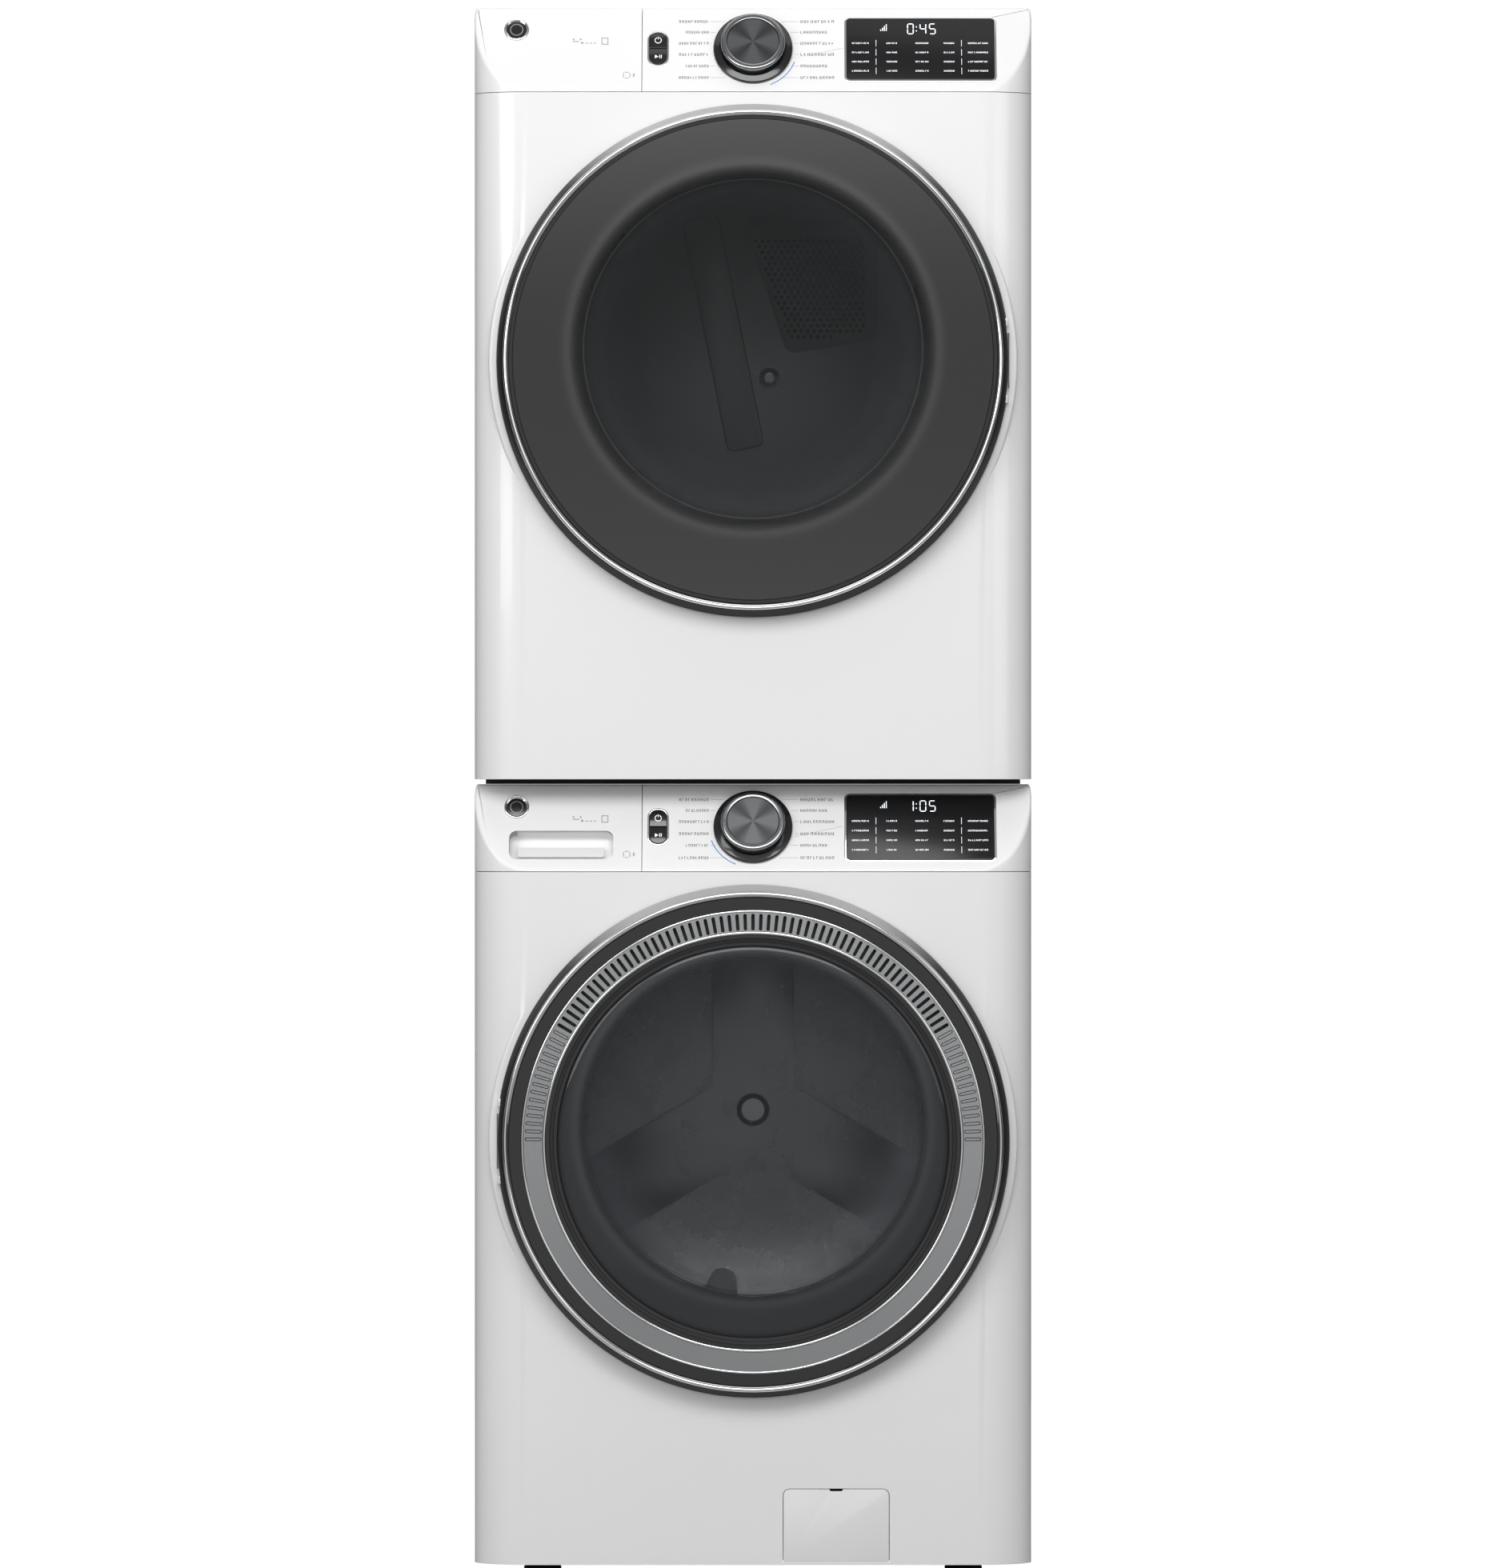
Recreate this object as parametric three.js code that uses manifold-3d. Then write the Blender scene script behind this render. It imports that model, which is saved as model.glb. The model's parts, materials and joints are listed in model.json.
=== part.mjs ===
// A front-loading washer with a matching dryer stacked on it.
// Millimetres, +Z up, the doors face -Y. The floor is z = 0.
import * as THREE from "three";
import { mergeVertices } from "three/addons/utils/BufferGeometryUtils.js";
import Module from "manifold-3d";

const wasm = await Module();
wasm.setup();

// Overall sizes
const width = 711;
const bodyDepth = 740; // front face to rear wall
const washerHeight = 994; // foot of the front panel to the top of the lid
const dryerHeight = 986.5;
const footHeight = 16;
const stackGap = 6.5; // space between the two machines
const rearReach = 35; // how far the duct and the water stubs stand out behind
const clearance = 0.3; // gap between pieces that touch

// Cabinet sheet work
const sheet = 3;
const seamGap = 0.8; // open line between two outer panels
const fasciaRise = 111; // height of the sloping control fascia
const fasciaLean = THREE.MathUtils.degToRad(25);
const fasciaDepth = 104;
const fasciaWall = 5;
const sideCurveWidth = 70; // the front face rolls back over this width at each side
const sideCurveDepth = 45;
const sideReturn = 60; // depth of the front panel's side walls
const topCornerRadius = 18;
const lidHeight = 22;
const basePanHeight = 30;

// Door, measured from its centre and from the front face
const doorDrop = 343; // seam under the fascia down to the door centre
const doorProud = 38;
const doorRadius = 326.5;
const doorLipRadius = 318; // the side of the door narrows to this
const doorGap = 2; // door to front face
const bossRadius = 337;
const bossDepth = 30;
const openingRadius = 240;
const openingLip = 28;
const trimInnerRadius = 310;
const trimDepth = 5;
const windowInset = 1.5; // glass behind the trim ring's crest
const windowThickness = 3.5;
const frameHoleRadius = 238;
const frameRimWall = 26.5;
const framePlate = 5;
const ventRecess = 18; // the washer's frame plate lies this far behind its trim ring
const ventInnerRadius = 249;
const ventOuterRadius = 291.5;
const ventSeatRadius = 306; // hole in the washer's door frame that takes the vent ring
const bowlRadius = 214;
const bowlWall = 5;
const bowlFlange = 3.5;
const washerBowlRise = 20; // drum axis above the door centre
const dryerBowlRise = 15;
const washerBowlDepth = 98;
const dryerBowlDepth = 88;
const hingeRadius = 4;
const hingeLength = 70;
const hingeInset = 4.5; // hinge axis inside the door's edge
const hingeForward = 8; // hinge axis in front of the face

// Controls, measured along the sloping fascia
const dividerX = -141.6; // line between the left panel and the control panel
const knobHeight = 61.5;
const skirtRadius = 50.5;
const skirtHeight = 8;
const knobRadius = 41;
const knobFaceRadius = 32.5;
const knobReach = 22;
const knobShaftRadius = 4;
const buttonX = -121;
const buttonTop = 86;
const buttonWidth = 23;
const buttonLength = 47.6; // both buttons together
const buttonProud = 1.2;
const buttonDepth = 6;
const displayLeft = 119;
const displayWidth = 189;
const displayBottom = 15.5;
const displayRise = 91;
const displayCorner = 5;
const displayThickness = 2.8;
const displayProud = 0.6;

// Drawer
const pocketX = -244.5;
const pocketWidth = 133;
const pocketBottom = 17;
const pocketRise = 40;
const pocketDepth = 20;
const trayWidth = 146;
const traySetBack = 57; // tray behind the front face
const trayDepth = 285;
const trayHeight = 72;
const trayFloorGap = 12; // tray above the seam
const trayWall = 2.5;

// Service flap and pump
const flapLeft = 38.7;
const flapWidth = 134.3;
const flapBottom = 3; // above the foot of the front panel
const flapHeight = 93.5;
const flapCorner = 8;
const filterRadius = 26;
const filterLength = 84;
const filterSetBack = 16; // filter cap behind the front face
const pumpWall = 6;

// Washer drum and suspension
const tubRadius = 302;
const tubWall = 5;
const tubFront = 95;
const tubLength = 465;
const tubMouthRadius = 225;
const hubRadius = 45;
const hubLength = 30;
const washerDrumRadius = 275;
const drumWall = 3;
const washerDrumFront = 125;
const washerDrumLength = 415;
const drumMouthRadius = 235;
const shaftRadius = 15;
const shaftLength = 105;
const bafflesPerDrum = 3;
const baffleHeight = 58;
const baffleWidth = 60;
const drumPulleyRadius = 150;
const pulleyWidth = 14;
const motorRadius = 60;
const motorX = 95;
const motorDrop = 385; // below the drum axis
const motorLength = 150;
const motorPulleyRadius = 20;
const beltThickness = 4;
const beltWidth = 10;
const springX = 240;
const springY = 330;
const springCoilRadius = 16;
const springWire = 3.2;
const springTurns = 6;
const springLength = 92;
const hangerDrop = 13; // hangers below the fascia seam
const lugWidth = 24;

// Dryer drum, air path and filter
const dryerDrumRadius = 285;
const dryerDrumFront = 130;
const dryerDrumLength = 470;
const bulkheadFront = 98;
const bulkheadThickness = 24;
const bulkheadHoleRadius = 236;
const lintWidth = 220;
const lintThickness = 10;
const lintTop = 196; // below the drum axis
const lintHeight = 190;
const dryerShaftX = -60;
const dryerShaftDrop = 410;
const blowerRadius = 92;
const blowerDepth = 62;
const blowerFront = 150;
const wheelRadius = 78;
const dryerMotorRadius = 62;
const dryerMotorLength = 150;
const dryerPulleyRadius = 14;
const ductRadius = 51;
const ductWall = 2;
const ductX = 130;

const doorSegments = 36;
const innerSegments = 28;
const smallSegments = 16;
const beltSegments = 12;
const cornerSegments = 2; // half the flats of a rounded corner
const curveSegments = 4;

// Levels
const washerBottom = footHeight;
const washerTop = washerBottom + washerHeight;
const dryerBottom = washerTop + stackGap;
const dryerTop = dryerBottom + dryerHeight;

const finishes = {
  white: { color: 0xf2f3f4, roughness: 0.25, metalness: 0.0 },
  black: { color: 0x0c0d0e, roughness: 0.3, metalness: 0.0 },
  grey: { color: 0x8b8f93, roughness: 0.45, metalness: 0.2 },
  chrome: { color: 0xd8dadc, roughness: 0.12, metalness: 1.0 },
  steel: { color: 0xb4b8bb, roughness: 0.35, metalness: 1.0 },
  glass: { color: 0x34373a, roughness: 0.08, metalness: 0.0 },
  clear: { color: 0xaeb9c0, roughness: 0.1, metalness: 0.0 },
  rubber: { color: 0x6d7073, roughness: 0.8, metalness: 0.0 },
  galvanised: { color: 0x9aa0a4, roughness: 0.5, metalness: 0.9 },
};

const stack = new THREE.Group();
// The origin is at the middle of the footprint, between the doors' glass and the rear stubs.
stack.position.y = -(bodyDepth + rearReach - doorProud) / 2;

function add(parent, name, finish, geometry) {
  const mesh = new THREE.Mesh(geometry, new THREE.MeshStandardMaterial(finishes[finish]));
  mesh.name = name;
  parent.add(mesh);
  return mesh;
}

// Booleans
function solid(geometry) {
  const welded = geometry.userData.closed ? geometry : weld(geometry);
  const mesh = new wasm.Mesh({
    numProp: 3,
    vertProperties: welded.attributes.position.array,
    triVerts: new Uint32Array(welded.index.array),
  });
  return new wasm.Manifold(mesh);
}

function weld(geometry) {
  const bare = geometry.index ? geometry.toNonIndexed() : geometry.clone();
  bare.deleteAttribute("normal");
  bare.deleteAttribute("uv");
  return mergeVertices(bare, 1e-4);
}

function shaped(manifold) {
  const mesh = manifold.getMesh();
  const geometry = new THREE.BufferGeometry();
  geometry.setAttribute("position", new THREE.BufferAttribute(mesh.vertProperties, 3));
  geometry.setIndex(new THREE.BufferAttribute(mesh.triVerts, 1));
  geometry.userData.closed = true;
  return geometry;
}

function join(...geometries) {
  return shaped(geometries.map(solid).reduce((whole, piece) => whole.add(piece)));
}

function cut(geometry, ...tools) {
  return shaped(tools.map(solid).reduce((whole, tool) => whole.subtract(tool), solid(geometry)));
}

function common(...geometries) {
  return shaped(geometries.map(solid).reduce((whole, piece) => whole.intersect(piece)));
}

// Basic shapes
function block(low, high) {
  const size = high.map((value, axis) => value - low[axis]);
  const middle = high.map((value, axis) => (value + low[axis]) / 2);
  return new THREE.BoxGeometry(...size).translate(...middle);
}

// A profile of [radius, y] points turned about the front-to-back line through x, z.
function turned(profile, x, z, segments = innerSegments) {
  const points = profile.map(([radius, y]) => new THREE.Vector2(radius, y));
  const onAxis = profile[0][0] === 0;
  if (!onAxis) points.push(points[0].clone());
  if (THREE.ShapeUtils.area(points) < 0) points.reverse();
  return new THREE.LatheGeometry(points, segments).translate(x, 0, z);
}

// The same about an upright line through x, y, with [radius, z] points.
function upright(profile, x, y, segments = smallSegments) {
  return turned(profile, 0, 0, segments).rotateX(Math.PI / 2).translate(x, y, 0);
}

const alongX = new THREE.Matrix4().makeBasis(
  new THREE.Vector3(0, 1, 0),
  new THREE.Vector3(0, 0, 1),
  new THREE.Vector3(1, 0, 0),
);
const alongY = new THREE.Matrix4().makeBasis(
  new THREE.Vector3(1, 0, 0),
  new THREE.Vector3(0, 0, 1),
  new THREE.Vector3(0, -1, 0),
);

function prism(shape, depth, segments = cornerSegments) {
  return new THREE.ExtrudeGeometry(shape, { depth, bevelEnabled: false, curveSegments: segments });
}

// A plan outline in x, y standing between two heights.
function standing(shape, low, high) {
  return prism(shape, high - low, curveSegments).translate(0, 0, low);
}

// An outline in x, z running from front to back.
function facing(shape, front, back, segments) {
  return prism(shape, back - front, segments).applyMatrix4(alongY).translate(0, back, 0);
}

function roundedRectangle(left, bottom, wide, high, radius) {
  const shape = new THREE.Shape();
  shape.moveTo(left + radius, bottom);
  shape.absarc(left + wide - radius, bottom + radius, radius, -Math.PI / 2, 0);
  shape.absarc(left + wide - radius, bottom + high - radius, radius, 0, Math.PI / 2);
  shape.absarc(left + radius, bottom + high - radius, radius, Math.PI / 2, Math.PI);
  shape.absarc(left + radius, bottom + radius, radius, Math.PI, 1.5 * Math.PI);
  return shape;
}

// Rounded at the top, square at the foot where it is hinged.
function hatchShape(left, bottom, wide, high, radius) {
  const shape = new THREE.Shape();
  shape.moveTo(left, bottom);
  shape.lineTo(left + wide, bottom);
  shape.absarc(left + wide - radius, bottom + high - radius, radius, 0, Math.PI / 2);
  shape.absarc(left + radius, bottom + high - radius, radius, Math.PI / 2, Math.PI);
  return shape;
}

// The plan of the front: flat in the middle, rolling back at both sides.
function frontPlan(inset) {
  const half = width / 2 - inset;
  const curveX = sideCurveWidth - inset;
  const curveY = sideCurveDepth - inset;
  const shape = new THREE.Shape();
  shape.moveTo(half, sideReturn);
  shape.lineTo(half, sideCurveDepth);
  shape.absellipse(half - curveX, sideCurveDepth, curveX, curveY, 0, -Math.PI / 2, true);
  shape.absellipse(curveX - half, sideCurveDepth, curveX, curveY, -Math.PI / 2, -Math.PI, true);
  shape.lineTo(-half, sideReturn);
  return shape;
}

// The front view of a whole machine, with rounded top corners.
function frontOutline(bottom, top, inset) {
  const half = width / 2 - inset;
  const radius = topCornerRadius - inset;
  const shape = new THREE.Shape();
  shape.moveTo(-half, bottom);
  shape.lineTo(half, bottom);
  shape.absarc(half - radius, top - inset - radius, radius, 0, Math.PI / 2);
  shape.absarc(radius - half, top - inset - radius, radius, Math.PI / 2, Math.PI);
  return shape;
}

// The cabinet wrap: both sides and the rear wall in one sheet, open at the front and the top.
function cabinetWrap(bottom, top) {
  const seam = top - fasciaRise;
  const half = width / 2;
  const front = sideReturn + clearance;
  const outer = block([-half, front, bottom], [half, bodyDepth, top - lidHeight - clearance]);
  const room = block(
    [sheet - half, front - sheet, bottom - sheet],
    [half - sheet, bodyDepth - sheet, top],
  );
  const fasciaRoom = block(
    [-width, front - sheet, seam - clearance],
    [width, fasciaDepth + clearance, top],
  );
  return cut(outer, room, fasciaRoom);
}

function lid(top) {
  const low = top - lidHeight;
  const whole = facing(frontOutline(low, top, 0), fasciaDepth + clearance, bodyDepth);
  const inside = frontOutline(low - sheet, top, sheet);
  const room = facing(inside, fasciaDepth - sheet, bodyDepth - sheet);
  return cut(whole, room);
}

function basePan(bottom) {
  const half = width / 2 - sheet - clearance;
  const front = sideReturn + sheet;
  const back = bodyDepth - sheet - clearance;
  const low = bottom + clearance;
  const whole = block([-half, front, low], [half, back, low + basePanHeight]);
  const room = block(
    [sheet - half, front + sheet, low + sheet],
    [half - sheet, back - sheet, low + basePanHeight + sheet],
  );
  return cut(whole, room);
}

// The front sheet with the round boss that the door closes on and the rolled opening.
function frontPanel(bottom, seam, doorZ, axisZ) {
  const skin = cut(
    standing(frontPlan(0), bottom, seam - seamGap),
    standing(frontPlan(sheet), bottom - sheet, seam + sheet),
    block(
      [sheet - width / 2, sideReturn - sheet, bottom - sheet],
      [width / 2 - sheet, sideReturn + sheet, seam + sheet],
    ),
  );
  const cylinder = (radius, front, back, z) =>
    turned(
      [
        [0, front],
        [radius, front],
        [radius, back],
        [0, back],
      ],
      0,
      z,
      doorSegments,
    );
  const inner = bossRadius - sheet;
  const hollow = cylinder(inner, sheet, sideReturn, doorZ);
  const boss = cut(cylinder(bossRadius, 0, bossDepth, doorZ), hollow);
  const lip = cylinder(openingRadius + sheet, sheet / 2, openingLip, axisZ);
  const opening = cylinder(openingRadius, -sheet, sideReturn, axisZ);
  return cut(join(cut(skin, cylinder(inner, -sheet, sideReturn, doorZ)), boss, lip), opening);
}

// Two lugs on the boss hold the ends of the door's hinge barrel.
function hingeLugs(side, doorZ) {
  const x = side * (doorRadius - hingeInset);
  return [-1, 1].map((end) => {
    const near = end * (hingeLength / 2 + 1);
    const far = end * (hingeLength / 2 + 9);
    return block(
      [x - hingeRadius, -hingeForward - hingeRadius, doorZ + Math.min(near, far)],
      [x + hingeRadius, sheet / 2, doorZ + Math.max(near, far)],
    );
  });
}

// The control fascia: the front's own plan carried upwards, cut back by a sloping face.
function fascia(top) {
  const seam = top - fasciaRise;
  const half = width / 2;
  const upperBody = (inset, low) => {
    const rear = block([inset - half, sideCurveDepth, low], [half - inset, bodyDepth, top]);
    const body = join(standing(frontPlan(inset), low, top), rear);
    const outline = facing(frontOutline(low, top, inset), -sheet, bodyDepth);
    return common(body, slope(low, top, inset), outline);
  };
  return cut(upperBody(0, seam), upperBody(fasciaWall, seam - sheet));
}

// The side view of the fascia: the sloping face rolls over into the flat top.
function slope(low, top, inset) {
  const roll = 14;
  const faceY = (z) => (z - top + fasciaRise) * Math.tan(fasciaLean) + inset / Math.cos(fasciaLean);
  const rear = fasciaDepth + inset;
  const side = new THREE.Shape();
  side.moveTo(faceY(low), low);
  side.lineTo(faceY(top - roll), top - roll);
  side.quadraticCurveTo(faceY(top), top - inset, faceY(top) + roll, top - inset);
  side.lineTo(rear, top - inset);
  side.lineTo(rear, low);
  return prism(side, width, curveSegments).applyMatrix4(alongX).translate(-width / 2, 0, 0);
}

// Everything on the fascia is drawn on an upright face at y = 0 and leaned back from the seam.
function leanFrame(top) {
  return new THREE.Matrix4()
    .makeTranslation(0, 0, top - fasciaRise)
    .multiply(new THREE.Matrix4().makeRotationX(-fasciaLean));
}

function leanGroup(top) {
  const group = new THREE.Group();
  group.position.z = top - fasciaRise;
  group.rotation.x = -fasciaLean;
  stack.add(group);
  return group;
}

function displayOutline(grow) {
  return roundedRectangle(
    displayLeft - grow,
    displayBottom - grow,
    displayWidth + 2 * grow,
    displayRise + 2 * grow,
    displayCorner + grow,
  );
}

function buttonOutline(grow) {
  return roundedRectangle(
    buttonX - buttonWidth / 2 - grow,
    buttonTop - buttonLength - grow,
    buttonWidth + 2 * grow,
    buttonLength + 2 * grow,
    buttonWidth / 2 + grow,
  );
}

// The part of the fascia on one side of the dividing line.
function fasciaSide(whole, left) {
  const low = left ? -width : dividerX + seamGap / 2;
  const high = left ? dividerX - seamGap / 2 : width;
  return common(whole, block([low, -width, 0], [high, width, dryerTop + width]));
}

// The control panel carries the knob skirt and holes for the buttons, the knob and the display.
function controlPanel(whole, top) {
  const frame = leanFrame(top);
  const holes = [
    facing(displayOutline(clearance), -fasciaWall, displayThickness - displayProud + clearance),
    facing(buttonOutline(clearance), -fasciaWall, 2 * fasciaWall),
  ];
  const skirt = turned(
    [
      [0, -skirtHeight],
      [knobRadius + 1.5, -skirtHeight],
      [skirtRadius, -skirtHeight / 3],
      [skirtRadius, fasciaWall / 2],
      [0, fasciaWall / 2],
    ],
    0,
    knobHeight,
  );
  const shaftHole = turned(
    [
      [0, -2 * skirtHeight],
      [knobShaftRadius + 0.5, -2 * skirtHeight],
      [knobShaftRadius + 0.5, 2 * fasciaWall],
      [0, 2 * fasciaWall],
    ],
    0,
    knobHeight,
    smallSegments,
  );
  const cutters = [...holes, shaftHole].map((tool) => tool.applyMatrix4(frame));
  const panel = fasciaSide(whole, false);
  return cut(join(panel, skirt.applyMatrix4(frame)), ...cutters);
}

function knob() {
  return turned(
    [
      [0, -knobReach],
      [knobFaceRadius, -knobReach],
      [knobRadius - 1, 3 - knobReach],
      [knobRadius, -skirtHeight - 0.5],
      [knobShaftRadius, -skirtHeight - 0.5],
      [knobShaftRadius, 3 * fasciaWall],
      [0, 3 * fasciaWall],
    ],
    0,
    knobHeight,
  );
}

// The upper or lower half of the long oval button.
function halfButton(upper) {
  const middle = buttonTop - buttonLength / 2;
  const split = 0.4;
  const low = upper ? middle + split : 0;
  const high = upper ? 2 * buttonTop : middle - split;
  const half = block([-width, -width, low], [width, width, high]);
  const back = buttonDepth - buttonProud;
  const whole = facing(buttonOutline(-clearance), -buttonProud, back, curveSegments);
  return common(whole, half);
}

function controls(name, top) {
  const group = leanGroup(top);
  const display = facing(displayOutline(0), -displayProud, displayThickness - displayProud);
  add(group, name + "_display", "black", display);
  add(group, name + "_knob", "chrome", knob());
  add(group, name + "_power_button", "black", halfButton(true));
  add(group, name + "_start_button", "black", halfButton(false));
}

// Door pieces, as [radius, y] sections about the door's axis.
const trimBack = trimDepth - doorProud; // back of the trim ring
const frameFront = trimBack + clearance;
const frameBack = -doorGap;

function doorFrame(side, doorZ, recess) {
  const plateFront = frameFront + recess;
  const rimInner = doorRadius - frameRimWall;
  const step = [
    [ventSeatRadius, frameFront],
    [ventSeatRadius, plateFront],
  ];
  const seat = recess > 0 ? step : [];
  const section = [
    [doorRadius, frameBack],
    [doorRadius, frameBack - 4],
    [doorLipRadius, frameFront],
    ...seat,
    [frameHoleRadius, plateFront],
    [frameHoleRadius, plateFront + framePlate],
    [rimInner, plateFront + framePlate],
    [rimInner, frameBack],
  ];
  const hinge = side * (doorRadius - hingeInset);
  const notchReach = hingeLength / 2 + 12;
  const inner = side * (rimInner - 6);
  const outer = hinge + side * 30;
  const notch = block(
    [Math.min(inner, outer), -hingeForward - hingeRadius - 5, doorZ - notchReach],
    [Math.max(inner, outer), doorGap, doorZ + notchReach],
  );
  return cut(turned(section, 0, doorZ, doorSegments), notch);
}

function trimRing(doorZ) {
  const outer = doorLipRadius - clearance;
  return turned(
    [
      [trimInnerRadius, trimBack],
      [outer, trimBack],
      [outer - 1, trimBack - trimDepth + 1.5],
      [(outer + trimInnerRadius) / 2, -doorProud],
      [trimInnerRadius, 1 - doorProud],
    ],
    0,
    doorZ,
    doorSegments,
  );
}

function disc(radius, front, thickness, doorZ) {
  const edge = 1;
  return turned(
    [
      [0, front],
      [radius - edge, front],
      [radius, front + edge],
      [radius, front + thickness],
      [0, front + thickness],
    ],
    0,
    doorZ,
    doorSegments,
  );
}

// The washer's vent ring steps down from the trim ring to the window.
function ventRing(doorZ) {
  const outer = trimInnerRadius - clearance;
  const seat = ventSeatRadius - clearance;
  const back = frameFront + ventRecess - clearance;
  const front = windowInset - doorProud;
  return turned(
    [
      [ventInnerRadius, back],
      [seat, back],
      [seat, trimBack],
      [outer, trimBack],
      [outer, front],
      [ventOuterRadius, front],
      [ventOuterRadius - 2, front + 2],
      [ventInnerRadius + 16, front + 5],
      [ventInnerRadius, front + 10],
    ],
    0,
    doorZ,
    doorSegments,
  );
}

// The bowl reaches into the drum opening; its flange closes the back of the door.
function doorBowl(doorZ, rise, depth) {
  const flange = doorRadius - frameRimWall - rise - clearance;
  const back = frameBack - clearance;
  const front = back - bowlFlange;
  const waist = bowlRadius - 12; // the bowl narrows towards its floor
  const shoulder = bowlRadius - 40;
  return turned(
    [
      [0, depth],
      [shoulder, depth],
      [waist, depth * 0.75],
      [bowlRadius, bowlWall],
      [bowlRadius, back],
      [flange, back],
      [flange, front],
      [bowlRadius - bowlWall, front],
      [waist - bowlWall, depth * 0.75 - bowlWall / 2],
      [shoulder - bowlWall / 2, depth - bowlWall],
      [0, depth - bowlWall],
    ],
    0,
    doorZ + rise,
    doorSegments,
  );
}

// A barrel on the hinge line, a leaf behind the frame and a foot on the frame's plate.
function hingeArm(side, doorZ, recess) {
  const hinge = side * (doorRadius - hingeInset);
  const leafEnd = side * (frameHoleRadius + 28);
  const footEnd = side * (frameHoleRadius + 50);
  const half = hingeLength / 2;
  const plateBack = frameFront + recess + framePlate + clearance;
  const leafFront = Math.max(plateBack, -hingeForward - hingeRadius);
  const leafBack = frameBack - bowlFlange - 2 * clearance;
  const barrel = new THREE.CylinderGeometry(hingeRadius, hingeRadius, hingeLength, smallSegments)
    .rotateX(Math.PI / 2)
    .translate(hinge, -hingeForward, doorZ);
  const leaf = block(
    [Math.min(hinge, leafEnd), leafFront, doorZ - half + 4],
    [Math.max(hinge, leafEnd), leafBack, doorZ + half - 4],
  );
  const foot = block(
    [Math.min(leafEnd, footEnd), plateBack, doorZ - half + 4],
    [Math.max(leafEnd, footEnd), leafBack, doorZ + half - 4],
  );
  return join(barrel, leaf, foot);
}

// A drum lifter: a rounded ridge along the inside of the drum wall.
function baffle(radius, front, length, angle) {
  const ridge = new THREE.Shape();
  ridge.moveTo(-baffleWidth / 2, 0);
  ridge.lineTo(-baffleWidth / 5, -baffleHeight);
  ridge.lineTo(baffleWidth / 5, -baffleHeight);
  ridge.lineTo(baffleWidth / 2, 0);
  return facing(ridge, front + 40, front + length - 30)
    .translate(0, 0, radius)
    .rotateY(angle);
}

function withBaffles(shell, radius, front, length, axisZ) {
  const ridges = Array.from({ length: bafflesPerDrum }, (_, index) =>
    baffle(radius, front, length, ((index + 0.5) * 2 * Math.PI) / bafflesPerDrum),
  );
  return join(shell, ...ridges.map((ridge) => ridge.translate(0, 0, axisZ)));
}

// A belt round a large and a small pulley.
function beltLoop(large, small, front) {
  const [largeX, largeZ, largeRadius] = large;
  const [smallX, smallZ, smallRadius] = small;
  const heading = Math.atan2(smallZ - largeZ, smallX - largeX);
  const spread = Math.hypot(smallZ - largeZ, smallX - largeX);
  const wrap = Math.acos((largeRadius - smallRadius) / spread);
  const loop = (path, grow) => {
    path.absarc(largeX, largeZ, largeRadius + grow, heading + wrap, heading - wrap + 2 * Math.PI);
    path.absarc(smallX, smallZ, smallRadius + grow, heading - wrap, heading + wrap);
    path.closePath();
    return path;
  };
  // The loop has flat facets, so it stands off the pulley by the depth of one.
  const halfFacet = (Math.PI - wrap) / (2 * beltSegments);
  const standOff = (largeRadius + clearance) / Math.cos(halfFacet) - largeRadius;
  const shape = loop(new THREE.Shape(), standOff + beltThickness);
  shape.holes.push(loop(new THREE.Path(), standOff));
  return facing(shape, front, front + beltWidth, beltSegments);
}

function pulley(radius, bore, front, x, z, segments) {
  const section = [
    [bore, front],
    [radius, front],
    [radius, front + pulleyWidth],
    [bore, front + pulleyWidth],
  ];
  return turned(section, x, z, segments);
}

// A coil spring standing on an upright line.
class Coil extends THREE.Curve {
  constructor(x, y, low, high) {
    super();
    this.place = new THREE.Vector3(x, y, low);
    this.rise = high - low;
  }
  getPoint(share, target = new THREE.Vector3()) {
    const angle = share * springTurns * 2 * Math.PI;
    target.set(Math.cos(angle), Math.sin(angle), 0).multiplyScalar(springCoilRadius);
    target.z = share * this.rise;
    return target.add(this.place);
  }
}

function coilSpring(x, y, low, high) {
  const wire = new THREE.Shape().absarc(0, 0, springWire / 2, 0, 2 * Math.PI);
  return new THREE.ExtrudeGeometry(wire, {
    steps: springTurns * 8,
    curveSegments: 3,
    extrudePath: new Coil(x, y, low, high),
  });
}

function buildDoor(name, side, doorZ, recess, rise, bowlDepth) {
  add(stack, name + "_door_frame", "black", doorFrame(side, doorZ, recess));
  add(stack, name + "_door_trim_ring", "chrome", trimRing(doorZ));
  add(stack, name + "_door_bowl", "clear", doorBowl(doorZ, rise, bowlDepth));
  add(stack, name + "_door_hinge_arm", "steel", hingeArm(side, doorZ, recess));
}

function buildCabinet(name, bottom, top, ...notches) {
  add(stack, name + "_top_panel", "white", lid(top));
  add(stack, name + "_base", "galvanised", cut(basePan(bottom), ...notches));
}

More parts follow.
